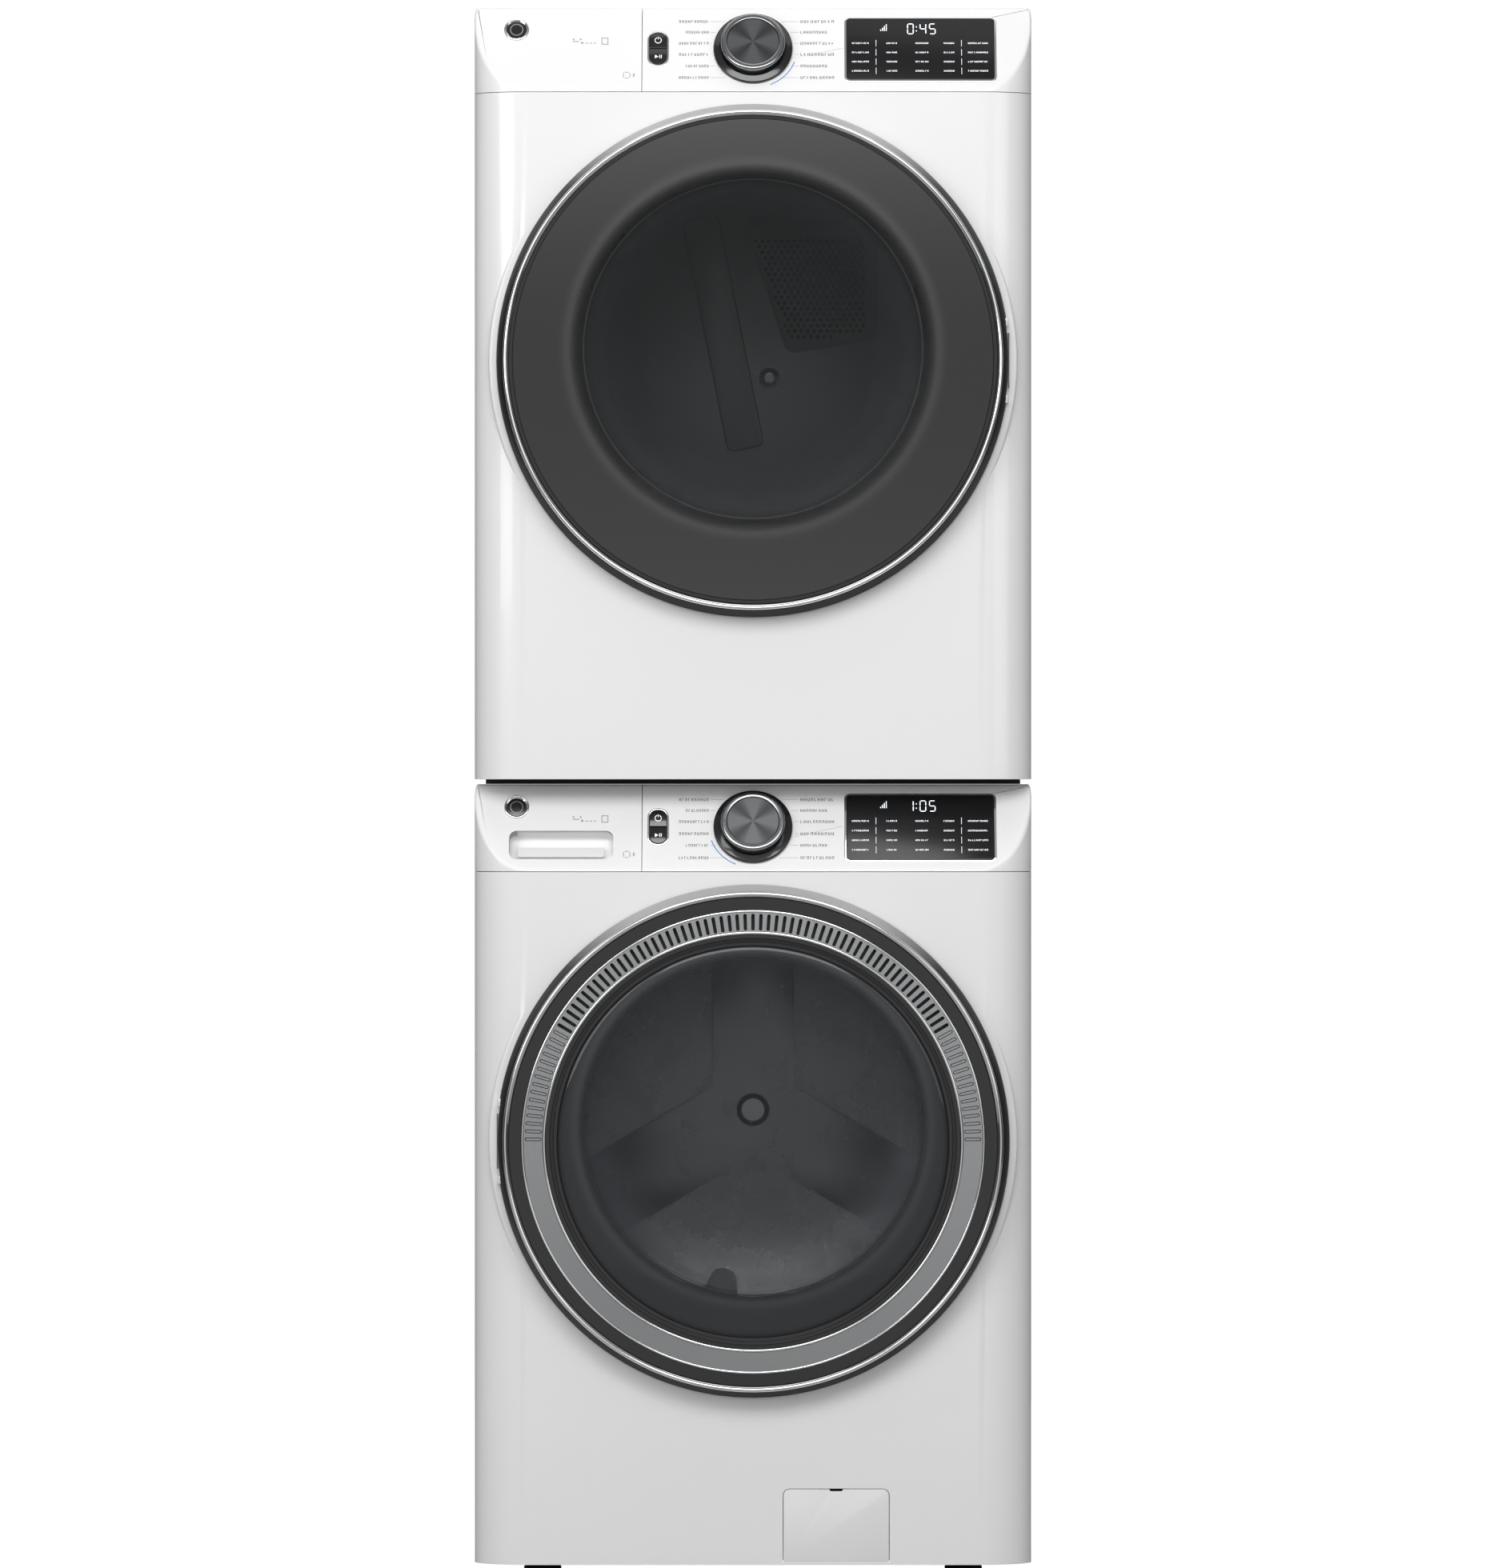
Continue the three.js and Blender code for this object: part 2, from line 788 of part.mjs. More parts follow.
// Washer
function buildWasher() {
  const bottom = washerBottom;
  const top = washerTop;
  const seam = top - fasciaRise;
  const doorZ = seam - doorDrop;
  const axisZ = doorZ + washerBowlRise;
  const hingeSide = -1;

  const pumpX = flapLeft + flapWidth / 2;
  const pumpRoom = filterRadius + 2 * pumpWall + 4;
  const pumpNotch = block(
    [pumpX - pumpRoom, 0, bottom + 2 * sheet],
    [pumpX + pumpRoom, sideReturn + 3 * sheet, bottom + 2 * basePanHeight],
  );
  buildCabinet("washer", bottom, top, pumpNotch);
  const hangerZ = seam - hangerDrop;
  const hangers = [-1, 1].map((side) => {
    const inner = side * (springX - springCoilRadius - springWire);
    const outer = side * (width / 2 - sheet / 2);
    return block(
      [Math.min(inner, outer), springY - springCoilRadius, hangerZ],
      [Math.max(inner, outer), springY + springCoilRadius, hangerZ + sheet],
    );
  });
  add(stack, "washer_cabinet", "white", join(cabinetWrap(bottom, top), ...hangers));

  const flapShape = (grow) =>
    hatchShape(
      flapLeft - grow,
      bottom + flapBottom - grow,
      flapWidth + 2 * grow,
      flapHeight + 2 * grow,
      flapCorner + grow,
    );
  const sheetFront = frontPanel(bottom, seam, doorZ, axisZ);
  const panel = cut(sheetFront, facing(flapShape(seamGap), -sheet, 2 * sheet));
  add(stack, "washer_front_panel", "white", join(panel, ...hingeLugs(hingeSide, doorZ)));
  add(stack, "washer_service_flap", "white", facing(flapShape(0), 0, sheet));

  const whole = fascia(top);
  add(stack, "washer_control_panel", "white", controlPanel(whole, top));
  controls("washer", top);
  buildDrawer(whole, top, seam);

  buildDoor("washer", hingeSide, doorZ, ventRecess, washerBowlRise, washerBowlDepth);
  add(stack, "washer_door_vent_ring", "grey", ventRing(doorZ));
  const windowFront = windowInset - doorProud + 9.5;
  const windowBack = frameFront + ventRecess - clearance;
  const glass = disc(ventInnerRadius - clearance, windowFront, windowBack - windowFront, doorZ);
  add(stack, "washer_door_window", "glass", glass);

  buildTub(axisZ, hangerZ);
  buildPump(bottom, pumpX);
  buildRear(bottom, seam);
  buildFeet(bottom);
}

function buildDrawer(whole, top, seam) {
  const frame = leanFrame(top);
  const pocket = (grow) =>
    facing(
      roundedRectangle(
        pocketX - pocketWidth / 2 - grow,
        pocketBottom - grow,
        pocketWidth + 2 * grow,
        pocketRise + 2 * grow,
        8 + grow,
      ),
      grow > 0 ? fasciaWall / 2 : -fasciaWall,
      pocketDepth + grow,
    ).applyMatrix4(frame);
  const rib = block(
    [pocketX - pocketWidth / 3, pocketDepth, seam + pocketBottom],
    [pocketX + pocketWidth / 3, traySetBack - clearance, seam + pocketBottom + 2 * sheet],
  );
  const front = cut(join(fasciaSide(whole, true), pocket(sheet), rib), pocket(0));
  add(stack, "washer_drawer_front", "white", front);

  const low = [pocketX - trayWidth / 2, traySetBack, seam + trayFloorGap];
  const high = [
    pocketX + trayWidth / 2,
    traySetBack + trayDepth,
    seam + trayFloorGap + trayHeight,
  ];
  const divider = block(
    [pocketX - trayWall / 2, traySetBack + trayWall / 2, low[2] + trayWall / 2],
    [pocketX + trayWall / 2, high[1] - trayWall / 2, high[2] - 12],
  );
  const room = block(
    low.map((value) => value + trayWall),
    [high[0] - trayWall, high[1] - trayWall, high[2] + trayWall],
  );
  add(stack, "washer_drawer_tray", "grey", join(cut(block(low, high), room), divider));
}

function buildTub(axisZ, hangerZ) {
  const tubBack = tubFront + tubLength;
  const bore = shaftRadius + clearance;
  const shell = turned(
    [
      [bore, tubBack + hubLength],
      [hubRadius, tubBack + hubLength],
      [hubRadius, tubBack],
      [tubRadius, tubBack],
      [tubRadius, tubFront],
      [tubMouthRadius, tubFront],
      [tubMouthRadius, tubFront + tubWall],
      [tubRadius - tubWall, tubFront + tubWall],
      [tubRadius - tubWall, tubBack - tubWall],
      [bore, tubBack - tubWall],
    ],
    0,
    axisZ,
  );
  const springLow = hangerZ - clearance - springWire - springLength;
  const surface = axisZ + Math.sqrt(tubRadius ** 2 - springX ** 2);
  const lugs = [-1, 1].map((side) =>
    block(
      [side * springX - lugWidth / 2, springY - lugWidth / 2, surface - lugWidth],
      [side * springX + lugWidth / 2, springY + lugWidth / 2, springLow - springWire - clearance],
    ),
  );
  const motorZ = axisZ - motorDrop;
  const motorTop = axisZ - Math.sqrt((tubRadius - tubWall / 2) ** 2 - motorX ** 2);
  const mount = block(
    [motorX - 20, tubBack - 90, motorZ + motorRadius + clearance],
    [motorX + 20, tubBack - 30, motorTop],
  );
  add(stack, "washer_tub", "grey", join(shell, ...lugs, mount));

  [-1, 1].forEach((side) => {
    const name = side < 0 ? "tub_spring_left" : "tub_spring_right";
    const springHigh = hangerZ - clearance - springWire;
    add(stack, name, "steel", coilSpring(side * springX, springY, springLow, springHigh));
  });

  const drumBack = washerDrumFront + washerDrumLength;
  const drum = turned(
    [
      [0, drumBack - drumWall],
      [washerDrumRadius - drumWall, drumBack - drumWall],
      [washerDrumRadius - drumWall, washerDrumFront + drumWall],
      [drumMouthRadius, washerDrumFront + drumWall],
      [drumMouthRadius, washerDrumFront],
      [washerDrumRadius, washerDrumFront],
      [washerDrumRadius, drumBack],
      [shaftRadius, drumBack],
      [shaftRadius, drumBack + shaftLength],
      [0, drumBack + shaftLength],
    ],
    0,
    axisZ,
  );
  const inside = washerDrumRadius - drumWall / 2;
  const lined = withBaffles(drum, inside, washerDrumFront, washerDrumLength, axisZ);
  add(stack, "washer_drum", "steel", lined);

  const pulleyFront = tubBack + hubLength + 12;
  const bigPulley = pulley(drumPulleyRadius, bore, pulleyFront, 0, axisZ, innerSegments);
  add(stack, "washer_drum_pulley", "steel", bigPulley);
  const motorBack = pulleyFront - 10;
  const motor = turned(
    [
      [0, motorBack - motorLength],
      [motorRadius - 4, motorBack - motorLength],
      [motorRadius, motorBack - motorLength + 4],
      [motorRadius, motorBack - 4],
      [motorRadius - 4, motorBack],
      [0, motorBack],
    ],
    motorX,
    motorZ,
    smallSegments,
  );
  add(stack, "washer_motor", "galvanised", motor);
  const smallPulley = turned(
    [
      [0, motorBack + clearance],
      [motorPulleyRadius / 2, motorBack + clearance],
      [motorPulleyRadius / 2, pulleyFront],
      [motorPulleyRadius, pulleyFront],
      [motorPulleyRadius, pulleyFront + pulleyWidth],
      [0, pulleyFront + pulleyWidth],
    ],
    motorX,
    motorZ,
    smallSegments,
  );
  add(stack, "washer_motor_pulley", "steel", smallPulley);
  const belt = beltLoop(
    [0, axisZ, drumPulleyRadius],
    [motorX, motorZ, motorPulleyRadius],
    pulleyFront + (pulleyWidth - beltWidth) / 2,
  );
  add(stack, "washer_drive_belt", "black", belt);

  // The bellows between the front opening and the tub mouth, with two folds.
  const gasketFront = openingLip + clearance;
  const gasketBack = tubFront - clearance;
  const fold = (gasketBack - gasketFront) / 4;
  const lipInner = bowlRadius + 9;
  const foldOuter = openingRadius + 14;
  const wall = 4;
  const gasket = turned(
    [
      [lipInner, gasketFront],
      [openingRadius + 6, gasketFront],
      [foldOuter, gasketFront + fold],
      [openingRadius, gasketFront + 2 * fold],
      [foldOuter, gasketFront + 3 * fold],
      [openingRadius + 6, gasketBack],
      [lipInner + 4, gasketBack],
      [lipInner + 4, gasketBack - wall],
      [openingRadius + 4, gasketBack - wall],
      [foldOuter - 7, gasketFront + 3 * fold],
      [openingRadius - 7, gasketFront + 2 * fold],
      [foldOuter - 7, gasketFront + fold],
      [openingRadius + 4, gasketFront + wall],
      [lipInner, gasketFront + wall],
    ],
    0,
    axisZ,
  );
  add(stack, "washer_gasket", "rubber", gasket);
}

function buildPump(bottom, x) {
  const z = bottom + flapBottom + flapHeight / 2;
  const bore = filterRadius + clearance + 1;
  const back = filterSetBack + filterLength + 2;
  const housing = turned(
    [
      [0, back],
      [bore, back],
      [bore, filterSetBack],
      [bore + pumpWall, filterSetBack],
      [bore + pumpWall, back],
      [bore + 2 * pumpWall, back + 6],
      [bore + 2 * pumpWall, back + 70],
      [0, back + 70],
    ],
    x,
    z,
    smallSegments,
  );
  const floorZ = bottom + clearance + sheet + clearance;
  const stand = block(
    [x - 20, back + 20, floorZ],
    [x + 20, back + 60, z],
  );
  add(stack, "washer_drain_pump", "black", join(housing, stand));

  const cap = turned(
    [
      [0, filterSetBack],
      [filterRadius, filterSetBack],
      [filterRadius, filterSetBack + 12],
      [filterRadius - 6, filterSetBack + 14],
      [filterRadius - 6, filterSetBack + filterLength],
      [0, filterSetBack + filterLength],
    ],
    x,
    z,
    smallSegments,
  );
  const grip = block(
    [x - filterRadius + 5, filterSetBack - 10, z - 4],
    [x + filterRadius - 5, filterSetBack + 1, z + 4],
  );
  add(stack, "washer_pump_filter", "grey", join(cap, grip));
}

function buildRear(bottom, seam) {
  const face = bodyDepth + clearance;
  const plate = facing(roundedRectangle(-230, bottom + 130, 460, 640, 20), face, face + sheet);
  const raised = facing(
    roundedRectangle(-190, bottom + 180, 380, 540, 40),
    face + sheet / 2,
    face + 3 * sheet,
  );
  add(stack, "washer_rear_panel", "galvanised", join(plate, raised));
  const valveZ = seam + 20;
  const valve = block([-310, face, valveZ - 25], [-190, face + 10, valveZ + 25]);
  const stub = (x) =>
    turned(
      [
        [0, face + 5],
        [13, face + 5],
        [13, bodyDepth + rearReach],
        [0, bodyDepth + rearReach],
      ],
      x,
      valveZ,
      smallSegments,
    );
  add(stack, "washer_inlet_valve", "grey", join(valve, stub(-280), stub(-220)));
}

function buildFeet(bottom) {
  const padHeight = 7;
  const footX = 270;
  const corners = [
    ["front_left", -footX, sideReturn + 40],
    ["front_right", footX, sideReturn + 40],
    ["rear_left", -footX, bodyDepth - 60],
    ["rear_right", footX, bodyDepth - 60],
  ];
  corners.forEach(([corner, x, y]) => {
    const foot = upright(
      [
        [0, 0],
        [24, 0],
        [24, padHeight - 2],
        [20, padHeight],
        [9, padHeight],
        [9, bottom - 1],
        [0, bottom - 1],
      ],
      x,
      y,
    );
    add(stack, "washer_foot_" + corner, "rubber", foot);
  });
}

// The flat frame that the dryer stands on, set in from the cabinets' sides.
function buildStackFrame() {
  const low = washerTop + clearance;
  const high = dryerBottom - clearance;
  const railWidth = 40;
  const half = width / 2 - 12;
  const front = fasciaDepth + 8;
  const back = bodyDepth - 6;
  const whole = block([-half, front, low], [half, back, high]);
  const room = block(
    [railWidth - half, front + railWidth, low - sheet],
    [half - railWidth, back - railWidth, high + sheet],
  );
  add(stack, "stack_frame", "black", cut(whole, room));
}

// Dryer
function buildDryer() {
  const bottom = dryerBottom;
  const top = dryerTop;
  const seam = top - fasciaRise;
  const doorZ = seam - doorDrop;
  const axisZ = doorZ + dryerBowlRise;
  const hingeSide = 1;
  const shaftZ = axisZ - dryerShaftDrop;
  const ductZ = shaftZ - blowerRadius + ductRadius + 4;

  buildCabinet("dryer", bottom, top);
  const ductHole = turned(
    [
      [0, bodyDepth - 2 * sheet],
      [ductRadius + 1, bodyDepth - 2 * sheet],
      [ductRadius + 1, bodyDepth + sheet],
      [0, bodyDepth + sheet],
    ],
    ductX,
    ductZ,
  );
  add(stack, "dryer_cabinet", "white", cut(cabinetWrap(bottom, top), ductHole));
  const panel = join(frontPanel(bottom, seam, doorZ, axisZ), ...hingeLugs(hingeSide, doorZ));
  add(stack, "dryer_front_panel", "white", panel);

  const whole = fascia(top);
  add(stack, "dryer_control_panel", "white", controlPanel(whole, top));
  add(stack, "dryer_trim_panel", "white", fasciaSide(whole, true));
  controls("dryer", top);

  buildDoor("dryer", hingeSide, doorZ, 0, dryerBowlRise, dryerBowlDepth);
  const glassFront = windowInset - doorProud;
  const glass = disc(trimInnerRadius - clearance, glassFront, windowThickness, doorZ);
  add(stack, "dryer_door_window", "glass", glass);

  const lintLow = axisZ - lintTop - lintHeight;
  const lintY = bulkheadFront + (bulkheadThickness - lintThickness) / 2;
  const wall = block(
    [-width / 2 + 12, bulkheadFront, bottom + basePanHeight + 4],
    [width / 2 - 12, bulkheadFront + bulkheadThickness, seam - 4],
  );
  const hole = turned(
    [
      [0, bulkheadFront - sheet],
      [bulkheadHoleRadius, bulkheadFront - sheet],
      [bulkheadHoleRadius, bulkheadFront + bulkheadThickness + sheet],
      [0, bulkheadFront + bulkheadThickness + sheet],
    ],
    0,
    axisZ,
  );
  const slot = block(
    [-lintWidth / 2 - 1, lintY - 1, lintLow - 4],
    [lintWidth / 2 + 1, lintY + lintThickness + 1, axisZ],
  );
  add(stack, "dryer_front_bulkhead", "grey", cut(wall, hole, slot));

  const filterFrame = block(
    [-lintWidth / 2, lintY, lintLow],
    [lintWidth / 2, lintY + lintThickness, axisZ - lintTop],
  );
  const border = 10;
  const mesh = block(
    [border - lintWidth / 2, lintY - sheet, lintLow + border],
    [lintWidth / 2 - border, lintY + lintThickness / 2 - 1, axisZ - lintTop - 2 * border],
  );
  add(stack, "dryer_lint_filter", "grey", cut(filterFrame, mesh));

  const drumBack = dryerDrumFront + dryerDrumLength;
  const drum = turned(
    [
      [dryerDrumRadius - drumWall, dryerDrumFront],
      [dryerDrumRadius, dryerDrumFront],
      [dryerDrumRadius, drumBack],
      [dryerDrumRadius - drumWall, drumBack],
    ],
    0,
    axisZ,
  );
  const inside = dryerDrumRadius - drumWall / 2;
  const lined = withBaffles(drum, inside, dryerDrumFront, dryerDrumLength, axisZ);
  add(stack, "dryer_drum", "steel", lined);

  // The fixed rear wall of the drum: a dish that plugs the drum's back end.
  const plug = dryerDrumRadius - drumWall - 3;
  const rearWall = turned(
    [
      [0, drumBack - 14],
      [plug, drumBack - 14],
      [plug, drumBack + 1],
      [plug + 18, drumBack + 1],
      [plug + 18, drumBack + 1 + sheet],
      [plug - sheet, drumBack + 1 + sheet],
      [plug - sheet, drumBack - 14 + sheet],
      [0, drumBack - 14 + sheet],
    ],
    0,
    axisZ,
  );
  add(stack, "dryer_rear_bulkhead", "galvanised", rearWall);
  buildAirPath(axisZ, shaftZ, ductZ);
}

function buildAirPath(axisZ, shaftZ, ductZ) {
  const blowerBack = blowerFront + blowerDepth;
  const cylinder = (radius, front, back, x, z) =>
    turned(
      [
        [0, front],
        [radius, front],
        [radius, back],
        [0, back],
      ],
      x,
      z,
      smallSegments,
    );
  const low = shaftZ - blowerRadius;
  const outlet = block(
    [dryerShaftX, blowerFront, low],
    [ductX + ductRadius + 6, blowerBack, low + 2 * ductRadius + 12],
  );
  const outletRoom = block(
    [dryerShaftX, blowerFront + 4, low + 4],
    [ductX + ductRadius + 2, blowerBack - 4, low + 2 * ductRadius + 8],
  );
  const housing = cut(
    join(cylinder(blowerRadius, blowerFront, blowerBack, dryerShaftX, shaftZ), outlet),
    cylinder(blowerRadius - 4, blowerFront + 4, blowerBack - 4, dryerShaftX, shaftZ),
    cylinder(blowerRadius / 2, blowerFront - 4, blowerFront + 8, dryerShaftX, shaftZ),
    cylinder(9, blowerBack - 8, blowerBack + 4, dryerShaftX, shaftZ),
    outletRoom,
    cylinder(ductRadius - ductWall, blowerBack - 8, blowerBack + 4, ductX, ductZ),
  );
  add(stack, "dryer_blower_housing", "grey", housing);

  const duct = turned(
    [
      [ductRadius - ductWall, blowerBack + clearance],
      [ductRadius, blowerBack + clearance],
      [ductRadius, bodyDepth + rearReach],
      [ductRadius - ductWall, bodyDepth + rearReach],
    ],
    ductX,
    ductZ,
  );
  add(stack, "dryer_exhaust_duct", "galvanised", duct);

  const motorFront = blowerBack + 20;
  const motorBack = motorFront + dryerMotorLength;
  const motor = turned(
    [
      [7.5, motorFront],
      [dryerMotorRadius, motorFront],
      [dryerMotorRadius, motorBack],
      [7.5, motorBack],
    ],
    dryerShaftX,
    shaftZ,
    smallSegments,
  );
  add(stack, "dryer_motor", "galvanised", motor);

  // One shaft through the motor carries the blower wheel in front and the belt pulley behind.
  const pulleyFront = motorBack + 10;
  const spindle = turned(
    [
      [0, blowerFront + 10],
      [wheelRadius, blowerFront + 10],
      [wheelRadius, blowerBack - 12],
      [wheelRadius - 4, blowerBack - 12],
      [wheelRadius - 4, blowerFront + 14],
      [7, blowerFront + 14],
      [7, pulleyFront],
      [dryerPulleyRadius, pulleyFront],
      [dryerPulleyRadius, pulleyFront + pulleyWidth],
      [0, pulleyFront + pulleyWidth],
    ],
    dryerShaftX,
    shaftZ,
    smallSegments,
  );
  add(stack, "dryer_blower_wheel", "galvanised", spindle);
  const belt = beltLoop(
    [0, axisZ, dryerDrumRadius],
    [dryerShaftX, shaftZ, dryerPulleyRadius],
    pulleyFront + (pulleyWidth - beltWidth) / 2,
  );
  add(stack, "dryer_drum_belt", "black", belt);
}

buildWasher();
buildStackFrame();
buildDryer();

export default stack;
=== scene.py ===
import json
import math
import random

import bmesh
import bpy
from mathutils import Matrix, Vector

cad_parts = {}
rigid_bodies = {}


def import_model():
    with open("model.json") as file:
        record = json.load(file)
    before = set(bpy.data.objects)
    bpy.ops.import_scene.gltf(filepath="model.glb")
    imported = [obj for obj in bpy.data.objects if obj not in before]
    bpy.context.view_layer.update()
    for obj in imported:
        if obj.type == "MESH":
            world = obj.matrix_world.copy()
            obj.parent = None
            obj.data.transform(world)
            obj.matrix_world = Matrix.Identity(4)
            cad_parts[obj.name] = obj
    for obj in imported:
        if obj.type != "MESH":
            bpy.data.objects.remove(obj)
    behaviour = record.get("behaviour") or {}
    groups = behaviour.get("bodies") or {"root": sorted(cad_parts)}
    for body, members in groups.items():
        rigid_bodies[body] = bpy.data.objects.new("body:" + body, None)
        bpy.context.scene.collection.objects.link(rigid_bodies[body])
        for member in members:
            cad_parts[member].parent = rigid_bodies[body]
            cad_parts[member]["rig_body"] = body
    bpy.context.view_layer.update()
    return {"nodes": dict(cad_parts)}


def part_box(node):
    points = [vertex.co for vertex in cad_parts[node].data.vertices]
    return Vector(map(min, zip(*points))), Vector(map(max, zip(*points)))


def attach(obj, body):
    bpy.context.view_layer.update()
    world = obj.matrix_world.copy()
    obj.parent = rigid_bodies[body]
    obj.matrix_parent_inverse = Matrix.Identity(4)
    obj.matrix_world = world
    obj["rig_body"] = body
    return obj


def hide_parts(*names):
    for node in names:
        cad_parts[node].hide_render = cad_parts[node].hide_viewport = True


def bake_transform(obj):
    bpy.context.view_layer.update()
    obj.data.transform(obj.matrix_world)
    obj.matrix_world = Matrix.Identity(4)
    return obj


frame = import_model()
print("frame loaded")

# The washer stands below and the dryer on top. Lengths in the dictionaries are in millimetres.
mm = 0.001
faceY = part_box("washer_service_flap")[0].y  # flat face of both front panels
lean = math.radians(25)
machines = {}
for machineName in ("washer", "dryer"):
    panelLow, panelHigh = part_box(machineName + "_front_panel")
    ringLow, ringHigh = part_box(machineName + "_door_trim_ring")
    machines[machineName] = {
        "bottom": panelLow.z,
        "seam": panelHigh.z + 0.8 * mm,
        "top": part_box(machineName + "_top_panel")[1].z,
        "doorZ": (ringLow.z + ringHigh.z) / 2,
        "drumZ": sum(corner.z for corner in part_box(machineName + "_door_bowl")) / 2,
        "hinge": -1 if machineName == "washer" else 1,
    }


def deselectAll():
    bpy.ops.object.select_all(action="DESELECT")


def useOnly(piece):
    deselectAll()
    piece.select_set(True)
    bpy.context.view_layer.objects.active = piece
    return piece


def inEditMode(piece):
    useOnly(piece)
    bpy.ops.object.mode_set(mode="EDIT")


def leaveEditMode():
    bpy.ops.object.mode_set(mode="OBJECT")
    return bpy.context.object


def chooseEdges(test):
    # keeps the edges whose two end points pass the test
    bpy.ops.mesh.select_mode(type="EDGE")
    bpy.ops.mesh.select_all(action="DESELECT")
    mesh = bmesh.from_edit_mesh(bpy.context.object.data)
    for edge in mesh.edges:
        edge.select_set(bool(test(edge.verts[0].co, edge.verts[1].co)))
    bmesh.update_edit_mesh(bpy.context.object.data)


def chooseFaces(test):
    bpy.ops.mesh.select_mode(type="FACE")
    bpy.ops.mesh.select_all(action="DESELECT")
    mesh = bmesh.from_edit_mesh(bpy.context.object.data)
    mesh.normal_update()
    for face in mesh.faces:
        face.select_set(bool(test(face.calc_center_median(), face.normal)))
    bmesh.update_edit_mesh(bpy.context.object.data)


def choosePoints(test):
    bpy.ops.mesh.select_mode(type="VERT")
    bpy.ops.mesh.select_all(action="DESELECT")
    mesh = bmesh.from_edit_mesh(bpy.context.object.data)
    for point in mesh.verts:
        point.select_set(bool(test(point.co)))
    bmesh.update_edit_mesh(bpy.context.object.data)


def settle(piece):
    # the object goes back to the origin and its place goes into its mesh
    useOnly(piece)
    bpy.ops.object.transform_apply(location=True, rotation=True, scale=True)
    return piece


def applied(piece, kind, **values):
    useOnly(piece)
    modifier = piece.modifiers.new(kind.lower(), kind)
    for key, value in values.items():
        setattr(modifier, key, value)
    bpy.ops.object.modifier_apply(modifier=modifier.name)
    return piece


def softenEdges(piece, width, segments=2, angle=30):
    return applied(piece, "BEVEL", width=width * mm, segments=segments,
                   limit_method="ANGLE", angle_limit=math.radians(angle), use_clamp_overlap=True)


def cutAway(piece, *cutters):
    for cutter in cutters:
        applied(piece, "BOOLEAN", operation="DIFFERENCE", solver="EXACT", object=cutter)
        bpy.data.objects.remove(cutter, do_unlink=True)
    return piece


def fuse(piece, *others):
    for other in others:
        applied(piece, "BOOLEAN", operation="UNION", solver="EXACT", object=other)
        bpy.data.objects.remove(other, do_unlink=True)
    return piece


def copyOf(piece):
    twin = piece.copy()
    twin.data = piece.data.copy()
    bpy.context.collection.objects.link(twin)
    return twin


def gather(pieces):
    deselectAll()
    for piece in pieces:
        piece.select_set(True)
    bpy.context.view_layer.objects.active = pieces[0]
    bpy.ops.object.join()
    return bpy.context.object


def turnFaces(piece):
    inEditMode(piece)
    bpy.ops.mesh.select_all(action="SELECT")
    bpy.ops.mesh.remove_doubles(threshold=0.00001)
    bpy.ops.mesh.normals_make_consistent(inside=False)
    return leaveEditMode()


def hand(piece, name, material, body, slotName, *replaced, angle=32):
    # name, finish, smooth shading and body: the last thing done to every piece
    settle(piece)
    piece.name = name
    piece.data.name = name
    piece.data.materials.clear()
    piece.data.materials.append(material)
    bpy.ops.object.shade_smooth_by_angle(angle=math.radians(angle))
    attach(piece, body)
    if replaced:
        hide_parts(*replaced)
    return piece


def roundBlock(low, high, radius=0, along="Y", segments=8):
    # a block between two corners in millimetres, with the four edges along one axis rounded
    deselectAll()
    middle = [(a + b) / 2 * mm for a, b in zip(low, high)]
    bpy.ops.mesh.primitive_cube_add(size=1, location=middle)
    block = bpy.context.object
    block.scale = [(b - a) * mm for a, b in zip(low, high)]
    settle(block)
    if radius:
        axis = "XYZ".index(along)
        inEditMode(block)
        chooseEdges(lambda a, b: abs((a - b).normalized()[axis]) > 0.99)
        bpy.ops.mesh.bevel(offset=radius * mm, segments=segments, affect="EDGES")
        leaveEditMode()
    return block


def turned(profile, steps=128, closed=True):
    # spins a profile of (radius, depth) about the Y axis; depth is measured back from the front face
    deselectAll()
    first = profile[0]
    bpy.ops.mesh.primitive_plane_add(size=mm, location=(first[0] * mm, first[1] * mm, 0))
    piece = bpy.context.object
    settle(piece)
    inEditMode(piece)
    bpy.ops.mesh.select_mode(type="VERT")
    bpy.ops.mesh.select_all(action="SELECT")
    bpy.ops.mesh.merge(type="CENTER")
    for here, there in zip(profile, profile[1:]):
        step = ((there[0] - here[0]) * mm, (there[1] - here[1]) * mm, 0)
        bpy.ops.mesh.extrude_vertices_move(TRANSFORM_OT_translate={"value": step})
    if closed:
        ends = [Vector((p[0] * mm, p[1] * mm, 0)) for p in (profile[0], profile[-1])]
        choosePoints(lambda at: min((at - end).length for end in ends) < 1e-6)
        bpy.ops.mesh.edge_face_add()
    bpy.ops.mesh.select_all(action="SELECT")
    bpy.ops.mesh.spin(steps=steps, angle=math.tau, center=(0, 0, 0), axis=(0, 1, 0))
    leaveEditMode()
    return turnFaces(piece)


def placed(piece, x, z, depth=0):
    piece.location = (x * mm, faceY + depth * mm, z)
    return settle(piece)


def spunPiece(profile, steps, z, name, finish, body, slotName, *replaced, angle=32):
    # a turned piece centred at a height on the front, finished in one go
    piece = placed(turned(profile, steps), 0, z)
    return hand(piece, name, finishes[finish], body, slotName, *replaced, angle=angle)


def leaned(piece, machine):
    # from a flat drawing (x across, y into the machine, z up from the seam) onto the sloping fascia
    settle(piece)
    piece.rotation_euler = (-lean, 0, 0)
    piece.location = (0, faceY, machine["seam"])
    return settle(piece)


